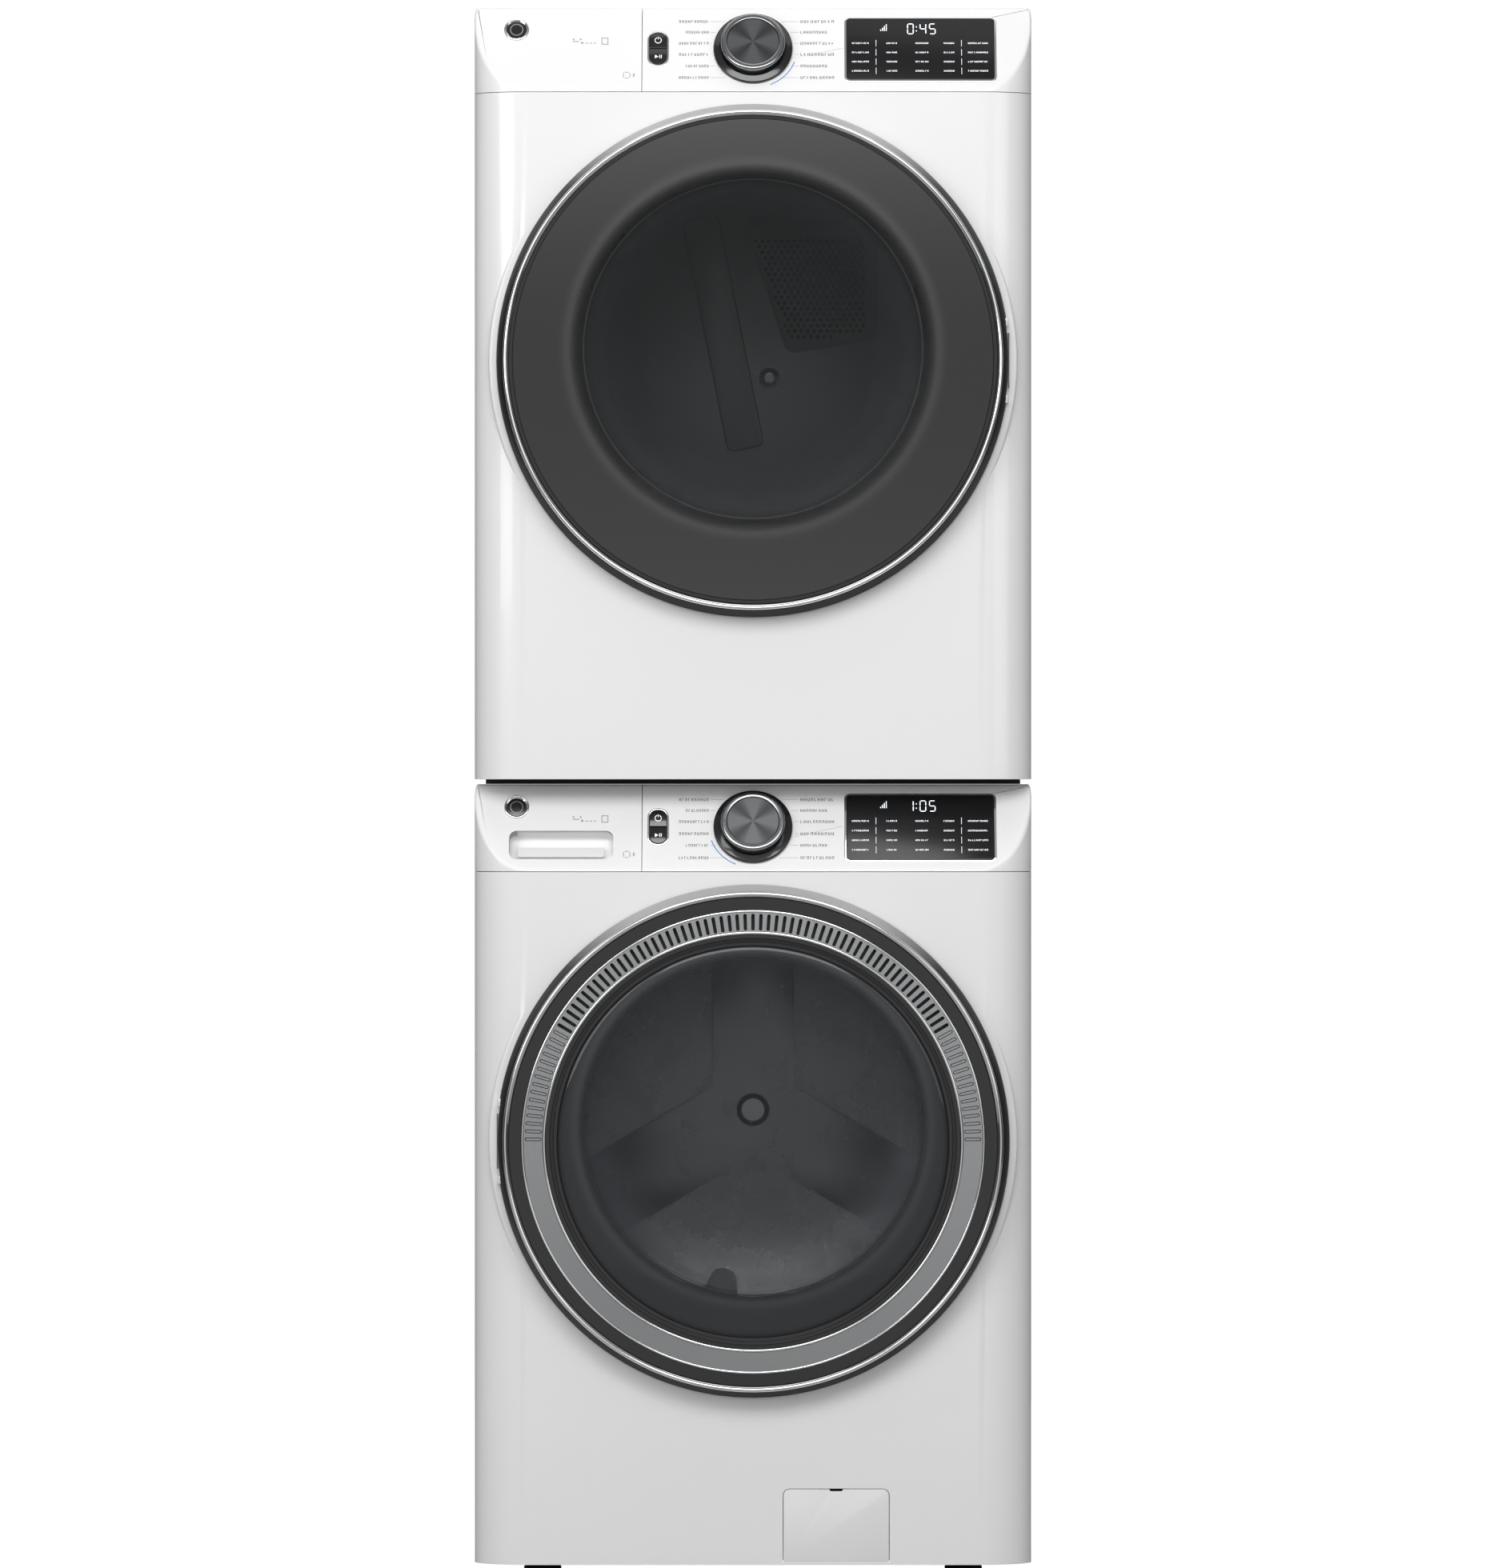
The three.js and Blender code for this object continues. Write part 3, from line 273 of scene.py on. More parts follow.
def arc(centreR, centreD, radius, start, stop, count):
    # points on an arc of a profile, angles in degrees from the outward radius towards the back
    turns = [math.radians(start + (stop - start) * i / count) for i in range(count + 1)]
    return [(centreR + radius * math.cos(t), centreD + radius * math.sin(t)) for t in turns]


def newGroup(name, inputs, outputs):
    group = bpy.data.node_groups.new(name, "ShaderNodeTree")
    for label, kind, value in inputs:
        socket = group.interface.new_socket(name=label, in_out="INPUT", socket_type=kind)
        if value is not None:
            socket.default_value = value
    for label, kind in outputs:
        group.interface.new_socket(name=label, in_out="OUTPUT", socket_type=kind)
    return group, group.nodes.new("NodeGroupInput"), group.nodes.new("NodeGroupOutput")


def node(tree, kind, **settings):
    made = tree.nodes.new(kind)
    for key, value in settings.items():
        setattr(made, key, value)
    return made


def math2(tree, operation, first, second=None, third=None):
    # a Math node whose inputs are sockets or numbers
    made = node(tree, "ShaderNodeMath", operation=operation)
    for index, value in enumerate((first, second, third)):
        if value is None:
            continue
        if isinstance(value, (int, float)):
            made.inputs[index].default_value = value
        else:
            tree.links.new(value, made.inputs[index])
    return made.outputs[0]


def ranged(tree, value, low, high):
    made = node(tree, "ShaderNodeMapRange")
    tree.links.new(value, made.inputs["Value"])
    for label, limit in (("To Min", low), ("To Max", high)):
        if isinstance(limit, (int, float)):
            made.inputs[label].default_value = limit
        else:
            tree.links.new(limit, made.inputs[label])
    return made.outputs["Result"]


def noiseOf(tree, vector, scale, detail=3.0, roughness=0.5):
    made = node(tree, "ShaderNodeTexNoise")
    tree.links.new(vector, made.inputs["Vector"])
    if isinstance(scale, (int, float)):
        made.inputs["Scale"].default_value = scale
    else:
        tree.links.new(scale, made.inputs["Scale"])
    made.inputs["Detail"].default_value = detail
    made.inputs["Roughness"].default_value = roughness
    return made.outputs["Fac"]


vectorIn = ("Vector", "NodeSocketVector", None)


def buildGrainGroup():
    # fine grain, slow cloudiness and a few hairline marks, for paint, plastic and rubber
    group, into, out = newGroup(
        "surfaceGrain",
        [vectorIn, ("Grain Scale", "NodeSocketFloat", 400.0), ("Cloud Scale", "NodeSocketFloat", 3.0),
         ("Mark Scale", "NodeSocketFloat", 40.0)],
        [("Grain", "NodeSocketFloat"), ("Cloud", "NodeSocketFloat"), ("Marks", "NodeSocketFloat")])
    vector = into.outputs["Vector"]
    grain = noiseOf(group, vector, into.outputs["Grain Scale"], 2.0, 0.55)
    cloud = noiseOf(group, vector, into.outputs["Cloud Scale"], 3.0, 0.6)
    stretch = node(group, "ShaderNodeMapping")
    stretch.inputs["Rotation"].default_value = (0.35, 0.2, 0.6)
    stretch.inputs["Scale"].default_value = (1.0, 1.0, 9.0)
    group.links.new(vector, stretch.inputs["Vector"])
    streak = noiseOf(group, stretch.outputs["Vector"], into.outputs["Mark Scale"], 4.0, 0.7)
    marks = math2(group, "SMOOTH_MAX", math2(group, "SUBTRACT", streak, 0.6), 0.0, 0.05)
    group.links.new(grain, out.inputs["Grain"])
    group.links.new(cloud, out.inputs["Cloud"])
    group.links.new(marks, out.inputs["Marks"])
    return group


def buildBrushGroup():
    # straight rolling lines along one axis of the piece
    group, into, out = newGroup(
        "rolledGrain",
        [vectorIn, ("Line Scale", "NodeSocketFloat", 900.0),
         ("Stretch", "NodeSocketVector", (1.0, 1.0, 0.02))],
        [("Lines", "NodeSocketFloat"), ("Cloud", "NodeSocketFloat")])
    stretched = node(group, "ShaderNodeVectorMath", operation="MULTIPLY")
    group.links.new(into.outputs["Vector"], stretched.inputs[0])
    group.links.new(into.outputs["Stretch"], stretched.inputs[1])
    lines = noiseOf(group, stretched.outputs["Vector"], into.outputs["Line Scale"], 3.0, 0.6)
    cloud = noiseOf(group, into.outputs["Vector"], 6.0, 3.0, 0.6)
    group.links.new(lines, out.inputs["Lines"])
    group.links.new(cloud, out.inputs["Cloud"])
    return group


def buildSpunGroup():
    # rings turned about the local Y axis, as a lathe leaves them
    group, into, out = newGroup(
        "spunGrain",
        [vectorIn, ("Ring Scale", "NodeSocketFloat", 3000.0)],
        [("Rings", "NodeSocketFloat"), ("Radius", "NodeSocketFloat"), ("Turn", "NodeSocketFloat")])
    parts = node(group, "ShaderNodeSeparateXYZ")
    group.links.new(into.outputs["Vector"], parts.inputs[0])
    x, z = parts.outputs["X"], parts.outputs["Z"]
    squares = math2(group, "ADD", math2(group, "MULTIPLY", x, x), math2(group, "MULTIPLY", z, z))
    radius = math2(group, "SQRT", squares)
    turn = math2(group, "ARCTAN2", z, x)
    along = node(group, "ShaderNodeCombineXYZ")
    group.links.new(radius, along.inputs["X"])
    group.links.new(math2(group, "MULTIPLY", turn, 0.00002), along.inputs["Y"])
    rings = noiseOf(group, along.outputs["Vector"], into.outputs["Ring Scale"], 2.0, 0.6)
    for label, socket in (("Rings", rings), ("Radius", radius), ("Turn", turn)):
        group.links.new(socket, out.inputs[label])
    return group


def buildHoleGroup():
    # a staggered field of round holes on a flat drawing (u, v); 1 inside a hole
    group, into, out = newGroup(
        "punchedHoles",
        [vectorIn, ("Pitch", "NodeSocketFloat", 0.009), ("Hole Radius", "NodeSocketFloat", 0.25)],
        [("Hole", "NodeSocketFloat"), ("Dish", "NodeSocketFloat")])
    parts = node(group, "ShaderNodeSeparateXYZ")
    group.links.new(into.outputs["Vector"], parts.inputs[0])
    pitch = into.outputs["Pitch"]
    across = math2(group, "DIVIDE", parts.outputs["X"], pitch)
    rows = math2(group, "DIVIDE", parts.outputs["Y"], math2(group, "MULTIPLY", pitch, 0.866))
    nearest = []
    for shift in (0.0, 1.0):
        row = math2(group, "MULTIPLY", math2(group, "ROUND",
                                             math2(group, "MULTIPLY",
                                                   math2(group, "SUBTRACT", rows, shift), 0.5)), 2.0)
        up = math2(group, "MULTIPLY", math2(group, "SUBTRACT", math2(group, "SUBTRACT", rows, shift),
                                            row), 0.866)
        moved = math2(group, "ADD", across, 0.5 * shift)
        side = math2(group, "SUBTRACT", moved, math2(group, "ROUND", moved))
        nearest.append(math2(group, "SQRT", math2(group, "ADD", math2(group, "MULTIPLY", up, up),
                                                   math2(group, "MULTIPLY", side, side))))
    distance = math2(group, "MINIMUM", *nearest)
    hole = math2(group, "LESS_THAN", distance, into.outputs["Hole Radius"])
    dish = math2(group, "MINIMUM", math2(group, "DIVIDE", distance, into.outputs["Hole Radius"]), 1.6)
    group.links.new(hole, out.inputs["Hole"])
    group.links.new(dish, out.inputs["Dish"])
    return group


surfaceGrain = buildGrainGroup()
rolledGrain = buildBrushGroup()
spunGrain = buildSpunGroup()
punchedHoles = buildHoleGroup()


def newMaterial(name):
    material = bpy.data.materials.new(name)
    material.use_nodes = True
    tree = material.node_tree
    shader = tree.nodes["Principled BSDF"]
    coordinates = node(tree, "ShaderNodeTexCoord")
    return material, tree, shader, coordinates.outputs["Object"]


def centredOn(tree, vector, place, tilt=0.0):
    # moves the middle of a pattern to a place on the object
    moved = node(tree, "ShaderNodeMapping", vector_type="TEXTURE")
    moved.inputs["Location"].default_value = place
    moved.inputs["Rotation"].default_value = (-tilt, 0, 0)
    tree.links.new(vector, moved.inputs["Vector"])
    return moved.outputs["Vector"]


def splitUp(tree, vector):
    parts = node(tree, "ShaderNodeSeparateXYZ")
    tree.links.new(vector, parts.inputs[0])
    return parts.outputs


def addGroup(tree, group, vector, **values):
    made = node(tree, "ShaderNodeGroup", node_tree=group)
    tree.links.new(vector, made.inputs["Vector"])
    for key, value in values.items():
        made.inputs[key.replace("_", " ")].default_value = value
    return made.outputs


def tinted(tree, factor, dark, light):
    mix = node(tree, "ShaderNodeMix", data_type="RGBA")
    tree.links.new(factor, mix.inputs["Factor"])
    mix.inputs["A"].default_value = (*dark, 1)
    mix.inputs["B"].default_value = (*light, 1)
    return mix.outputs["Result"]


def bumped(tree, shader, height, strength, distance):
    bump = node(tree, "ShaderNodeBump")
    bump.inputs["Strength"].default_value = strength
    bump.inputs["Distance"].default_value = distance
    tree.links.new(height, bump.inputs["Height"])
    tree.links.new(bump.outputs["Normal"], shader.inputs["Normal"])


def mouldedFinish(name, colour, spread, roughness, grain=500.0, depth=0.00006, coat=0.0, clouds=3.0,
                  marks=0.15):
    # paint, plastic and rubber: colour drifts a little, gloss varies, grain shows at grazing light
    material, tree, shader, vector = newMaterial(name)
    surface = addGroup(tree, surfaceGrain, vector, Grain_Scale=grain, Cloud_Scale=clouds)
    dark = [channel * (1 - spread) for channel in colour]
    light = [min(1.0, channel * (1 + spread)) for channel in colour]
    tree.links.new(tinted(tree, surface["Cloud"], dark, light), shader.inputs["Base Color"])
    gloss = ranged(tree, surface["Cloud"], roughness * 0.85, roughness * 1.15)
    gloss = math2(tree, "ADD", gloss, math2(tree, "MULTIPLY", surface["Marks"], marks))
    tree.links.new(gloss, shader.inputs["Roughness"])
    bumped(tree, shader, surface["Grain"], 0.5, depth)
    shader.inputs["Coat Weight"].default_value = coat
    shader.inputs["Coat Roughness"].default_value = 0.06
    return material


def metalFinish(name, colour, roughness, lines=900.0, stretch=(1.0, 1.0, 0.02), depth=0.00004,
                spread=0.1):
    material, tree, shader, vector = newMaterial(name)
    rolled = addGroup(tree, rolledGrain, vector, Line_Scale=lines, Stretch=stretch)
    dark = [channel * (1 - spread) for channel in colour]
    tree.links.new(tinted(tree, rolled["Cloud"], dark, colour), shader.inputs["Base Color"])
    tree.links.new(ranged(tree, rolled["Lines"], roughness * 0.7, roughness * 1.3),
                   shader.inputs["Roughness"])
    shader.inputs["Metallic"].default_value = 1.0
    bumped(tree, shader, rolled["Lines"], 0.4, depth)
    return material


def spunFinish(name, colour, roughness, centre, tilt=0.0, rings=3000.0, depth=0.00003, paintedSheen=0.0,
               paintedFootShade=0.0):
    # metal turned on a lathe, with painted light in its colour: a painted highlight fans out from the
    # middle, and a painted shade can darken the foot
    material, tree, shader, vector = newMaterial(name)
    spun = addGroup(tree, spunGrain, centredOn(tree, vector, centre, tilt), Ring_Scale=rings)
    # painted highlight: lighter and darker sectors fanning round the middle, mixed into the colour
    paintedSheenFan = math2(tree, "COSINE", math2(tree, "MULTIPLY", spun["Turn"], 4.0))
    paintedSheenFan = math2(tree, "MULTIPLY_ADD", paintedSheenFan, 0.5, 0.5)
    fine = math2(tree, "MULTIPLY_ADD", spun["Rings"], 0.4, math2(tree, "MULTIPLY", paintedSheenFan, paintedSheen))
    # painted shade: the colour darkens towards the foot of the piece
    height = math2(tree, "MULTIPLY_ADD", math2(tree, "SINE", spun["Turn"]), 0.5, 0.5)
    fine = math2(tree, "MULTIPLY_ADD", height, paintedFootShade, math2(tree, "MULTIPLY", fine, 1.0 - paintedFootShade))
    dark = [channel * (0.72 - 0.5 * paintedFootShade) for channel in colour]
    light = [min(1.0, channel * (1 + paintedSheen)) for channel in colour]
    tree.links.new(tinted(tree, fine, dark, light), shader.inputs["Base Color"])
    tree.links.new(ranged(tree, spun["Rings"], roughness * 0.7, roughness * 1.3),
                   shader.inputs["Roughness"])
    shader.inputs["Metallic"].default_value = 1.0
    bumped(tree, shader, spun["Rings"], 0.5, depth)
    return material


def darkGlass(name, middle, clearRadius, border, z, cover, haze=0.03):
    # smoked door glass: see-through in the middle, then a painted highlight ring, then a grey border
    # that is painted lighter away from the middle, most of all above it, as a painted reflection
    material, tree, shader, vector = newMaterial(name)
    surface = addGroup(tree, surfaceGrain, vector, Grain_Scale=60.0, Cloud_Scale=5.0)
    centred = centredOn(tree, vector, (0, 0, z))
    radius = addGroup(tree, spunGrain, centred, Ring_Scale=10.0)["Radius"]
    edge = math2(tree, "DIVIDE", math2(tree, "SUBTRACT", radius, clearRadius - 0.004), 0.016)
    edge = math2(tree, "SMOOTH_MIN", math2(tree, "MAXIMUM", edge, 0.0), 1.0, 0.2)
    # painted highlight: a soft light ring added to the colour just outside the clear middle
    ring = math2(tree, "DIVIDE", math2(tree, "SUBTRACT", radius, clearRadius + 0.014), 0.007)
    ring = math2(tree, "POWER", 2.718, math2(tree, "MULTIPLY", math2(tree, "MULTIPLY", ring, ring),
                                             -1.0))
    # painted reflection: the grey border is painted lighter away from the middle, more above than below
    height = splitUp(tree, centred)["Z"]
    rise = math2(tree, "DIVIDE", height, 0.3)
    rise = math2(tree, "MULTIPLY", rise, rise)
    above = math2(tree, "GREATER_THAN", height, 0.0)
    paintedReflectionLift = math2(tree, "MULTIPLY", rise, math2(tree, "MULTIPLY_ADD", above, 0.45, 0.15))
    shade = math2(tree, "MULTIPLY", edge, math2(tree, "ADD", paintedReflectionLift, 0.4))
    shade = math2(tree, "MULTIPLY_ADD", ring, 0.25, shade)
    tree.links.new(tinted(tree, shade, middle, border), shader.inputs["Base Color"])
    tree.links.new(ranged(tree, edge, cover, 0.97), shader.inputs["Alpha"])
    smear = math2(tree, "MULTIPLY_ADD", surface["Marks"], 0.1, haze)
    tree.links.new(smear, shader.inputs["Roughness"])
    shader.inputs["IOR"].default_value = 1.5
    shader.inputs["Specular IOR Level"].default_value = 0.28
    return material


def coneWithPaintedReflection(name, z, colour):
    # the sloping black ring round a door: a painted reflection makes it pale over the top, running to
    # its own black at the sides and foot
    material, tree, shader, vector = newMaterial(name)
    surface = addGroup(tree, surfaceGrain, vector, Grain_Scale=1500.0, Cloud_Scale=4.0)
    centred = centredOn(tree, vector, (0, 0, z))
    radius = addGroup(tree, spunGrain, centred, Ring_Scale=10.0)["Radius"]
    # painted reflection: how far the surface faces up sets where the pale colour shows
    paintedTopReflection = math2(tree, "DIVIDE", splitUp(tree, centred)["Z"], radius)
    paintedTopReflection = math2(tree, "DIVIDE", math2(tree, "SUBTRACT", paintedTopReflection, 0.68), 0.2)
    paintedTopReflection = math2(tree, "SMOOTH_MIN", math2(tree, "SMOOTH_MAX", paintedTopReflection, 0.0, 0.2), 1.0, 0.2)
    outside = math2(tree, "GREATER_THAN", radius, 0.3178)
    pale = math2(tree, "MULTIPLY", paintedTopReflection, outside)
    tree.links.new(tinted(tree, pale, (0.006, 0.006, 0.007), colour), shader.inputs["Base Color"])
    tree.links.new(math2(tree, "MULTIPLY_ADD", surface["Marks"], 0.15, 0.34),
                   shader.inputs["Roughness"])
    shader.inputs["Specular IOR Level"].default_value = 0.12
    bumped(tree, shader, surface["Grain"], 0.4, 0.00003)
    return material


def clearFinish(name, tint, opacity):
    # clear moulded bowl: thin in the middle, dense where it turns away
    material, tree, shader, vector = newMaterial(name)
    surface = addGroup(tree, surfaceGrain, vector, Grain_Scale=80.0)
    tree.links.new(tinted(tree, surface["Cloud"], [c * 0.9 for c in tint], tint),
                   shader.inputs["Base Color"])
    edge = node(tree, "ShaderNodeLayerWeight")
    edge.inputs["Blend"].default_value = 0.35
    tree.links.new(ranged(tree, edge.outputs["Facing"], opacity, min(1.0, opacity + 0.55)),
                   shader.inputs["Alpha"])
    tree.links.new(math2(tree, "MULTIPLY_ADD", surface["Marks"], 0.2, 0.04), shader.inputs["Roughness"])
    bumped(tree, shader, surface["Grain"], 0.2, 0.00005)
    return material


def punchedSteel(name, drumZ):
    # drum steel, rolled round the drum and punched with small holes; the holes are painted near-black,
    # the shade seen through them
    material, tree, shader, vector = newMaterial(name)
    centred = centredOn(tree, vector, (0, 0, drumZ))
    spun = addGroup(tree, spunGrain, centred, Ring_Scale=800.0)
    drawing = node(tree, "ShaderNodeCombineXYZ")
    tree.links.new(math2(tree, "MULTIPLY", spun["Turn"], 0.275), drawing.inputs["X"])
    tree.links.new(splitUp(tree, centred)["Y"], drawing.inputs["Y"])
    holes = addGroup(tree, punchedHoles, drawing.outputs["Vector"], Pitch=0.018, Hole_Radius=0.13)
    rim = math2(tree, "GREATER_THAN", spun["Radius"], 0.262)
    hole = math2(tree, "MULTIPLY", holes["Hole"], rim)
    rolled = addGroup(tree, rolledGrain, centred, Line_Scale=500.0, Stretch=(0.05, 1.0, 0.05))
    # painted shade: the hole mask turns the colour near-black where the drum would show the dark behind
    shade = math2(tree, "MULTIPLY", math2(tree, "MULTIPLY_ADD", rolled["Cloud"], 0.3, 0.75),
                  math2(tree, "SUBTRACT", 1.0, hole))
    tree.links.new(tinted(tree, shade, (0.01, 0.01, 0.012), (0.62, 0.63, 0.65)),
                   shader.inputs["Base Color"])
    tree.links.new(ranged(tree, rolled["Lines"], 0.18, 0.36), shader.inputs["Roughness"])
    shader.inputs["Metallic"].default_value = 1.0
    relief = math2(tree, "ADD", math2(tree, "MULTIPLY", rolled["Lines"], 0.005),
                   math2(tree, "MULTIPLY", holes["Dish"], rim))
    bumped(tree, shader, relief, 0.5, 0.0004)
    return material


def litFinish(name, colour, glow):
    material, tree, shader, vector = newMaterial(name)
    surface = addGroup(tree, surfaceGrain, vector, Grain_Scale=900.0)
    shade = tinted(tree, surface["Cloud"], [c * 0.9 for c in colour], colour)
    tree.links.new(shade, shader.inputs["Base Color"])
    tree.links.new(shade, shader.inputs["Emission Color"])
    shader.inputs["Emission Strength"].default_value = glow
    shader.inputs["Roughness"].default_value = 0.4
    return material


finishes = {
    "enamel": mouldedFinish("whiteEnamel", (0.86, 0.86, 0.862), 0.012, 0.24, 900.0, 0.00005, coat=0.5),
    "whitePlastic": mouldedFinish("whitePlastic", (0.86, 0.86, 0.86), 0.012, 0.3, 1400.0, 0.00004,
                                  coat=0.2),
    "blackPlastic": mouldedFinish("glossBlackPlastic", (0.010, 0.010, 0.011), 0.15, 0.13, 1500.0,
                                  0.00003, coat=0.4),
    "mattBlack": mouldedFinish("mattBlackPlastic", (0.018, 0.018, 0.019), 0.15, 0.5, 1500.0, 0.0001),
    "displayBlack": mouldedFinish("displayBlack", (0.010, 0.010, 0.011), 0.1, 0.22, 1200.0, 0.00001,
                                  marks=0.05),
    "greyPlastic": mouldedFinish("greyPlastic", (0.33, 0.34, 0.35), 0.05, 0.42, 1300.0, 0.00012),
    "paleGrey": mouldedFinish("paleGreyPlastic", (0.60, 0.61, 0.62), 0.03, 0.4, 1300.0, 0.0001),
    "rubber": mouldedFinish("greyRubber", (0.14, 0.145, 0.15), 0.08, 0.55, 700.0, 0.00015),
    "blackRubber": mouldedFinish("blackRubber", (0.02, 0.02, 0.02), 0.1, 0.6, 700.0, 0.0002),
    "framePaint": mouldedFinish("blackFramePaint", (0.016, 0.016, 0.017), 0.1, 0.38, 500.0, 0.00015),
    "smokedChrome": metalFinish("smokedChrome", (0.34, 0.345, 0.355), 0.14, 700.0, (0.3, 0.3, 0.3),
                                0.000005, 0.05),
    "print": mouldedFinish("greyPrint", (0.13, 0.135, 0.14), 0.05, 0.5, 2000.0, 0.00001),
    "palePrint": mouldedFinish("palePrint", (0.36, 0.37, 0.38), 0.05, 0.5, 2000.0, 0.00001),
    "bluePrint": mouldedFinish("bluePrint", (0.10, 0.28, 0.62), 0.05, 0.45, 2000.0, 0.00001),
    "whitePrint": litFinish("litWhiteMark", (0.85, 0.88, 0.92), 0.7),
    "chrome": metalFinish("brightChrome", (0.86, 0.87, 0.88), 0.07, 700.0, (0.3, 0.3, 0.3), 0.000005,
                          0.03),
    "galvanised": metalFinish("galvanisedSheet", (0.60, 0.61, 0.62), 0.38, 260.0, (1.0, 1.0, 0.5),
                              0.00004, 0.25),
    "stainless": metalFinish("stainlessSheet", (0.62, 0.63, 0.65), 0.25, 800.0, (0.03, 1.0, 0.03),
                             0.00003),
    "springSteel": metalFinish("springSteel", (0.42, 0.43, 0.45), 0.3, 900.0, (1.0, 1.0, 1.0), 0.00003),
    "motorAlloy": metalFinish("castMotorAlloy", (0.50, 0.51, 0.52), 0.5, 300.0, (1.0, 1.0, 1.0),
                              0.00025, 0.2),
    "smokedGlass": darkGlass("smokedDoorGlass", (0.005, 0.005, 0.005), 0.222, (0.088, 0.088, 0.090),
                             machines["dryer"]["drumZ"], 0.44),
    "washerGlass": darkGlass("washerWindowGlass", (0.008, 0.009, 0.010), 0.212, (0.066, 0.070, 0.076),
                             machines["washer"]["drumZ"], 0.38),
    "clearBowl": clearFinish("clearBowl", (0.55, 0.62, 0.68), 0.06),
}
displayShader = finishes["displayBlack"].node_tree.nodes["Principled BSDF"]
displayShader.inputs["Specular IOR Level"].default_value = 0.3
print("finishes made")

# CAD pieces whose shape is kept, with the finish each one gets
keptNodes = {
    "enamel": ["washer_cabinet", "dryer_cabinet"],
    "galvanised": ["washer_base", "dryer_base", "washer_rear_panel", "dryer_exhaust_duct"],
    "framePaint": ["stack_frame"],
    "paleGrey": ["dryer_front_bulkhead"],
    "greyPlastic": ["washer_drawer_tray", "washer_tub", "dryer_blower_housing", "washer_drain_pump",
                    "dryer_lint_filter", "washer_pump_filter"],
    "blackPlastic": ["washer_inlet_valve"],
    "motorAlloy": ["washer_motor", "dryer_motor", "dryer_blower_wheel", "washer_drum_pulley",
                   "washer_motor_pulley",
                   "washer_door_hinge_arm", "dryer_door_hinge_arm"],
    "blackRubber": ["washer_drive_belt", "dryer_drum_belt"],
}
for finishName, names in keptNodes.items():
    for name in names:
        shown = frame["nodes"][name]
        shown.data.materials.clear()
        shown.data.materials.append(finishes[finishName])


frontSizes = {
    "halfWidth": 355.48, "depth": 60, "skin": 2.5,
    "rollDepth": 45, "rollWidth": 70,  # how far the face rolls back at each side
    "bossRadius": 336.8, "bossEdge": 4, "bossDepth": 30, "opening": 240, "openingLip": 28,
}


lugSizes = {"rise": 49, "inner": 315, "outer": 325, "front": -11, "halfHeight": 5}


def rollSides(piece):
    # rounds the two upright front edges, then draws the rounding out to its full width
    s = frontSizes
    edge = s["halfWidth"] * mm
    inEditMode(piece)
    chooseEdges(lambda a, b: abs(a.z - b.z) > 0.01 and abs(a.x - b.x) < 1e-6 and max(a.y, b.y) < 1e-5)
    bpy.ops.mesh.bevel(offset=s["rollDepth"] * mm, segments=20, affect="EDGES")
    for side in (-1, 1):
        choosePoints(lambda at: at.x * side > edge - s["rollDepth"] * mm - 1e-5)
        bpy.ops.transform.resize(value=(s["rollWidth"] / s["rollDepth"], 1, 1),
                                 center_override=(side * edge, 0, 0))
    return leaveEditMode()


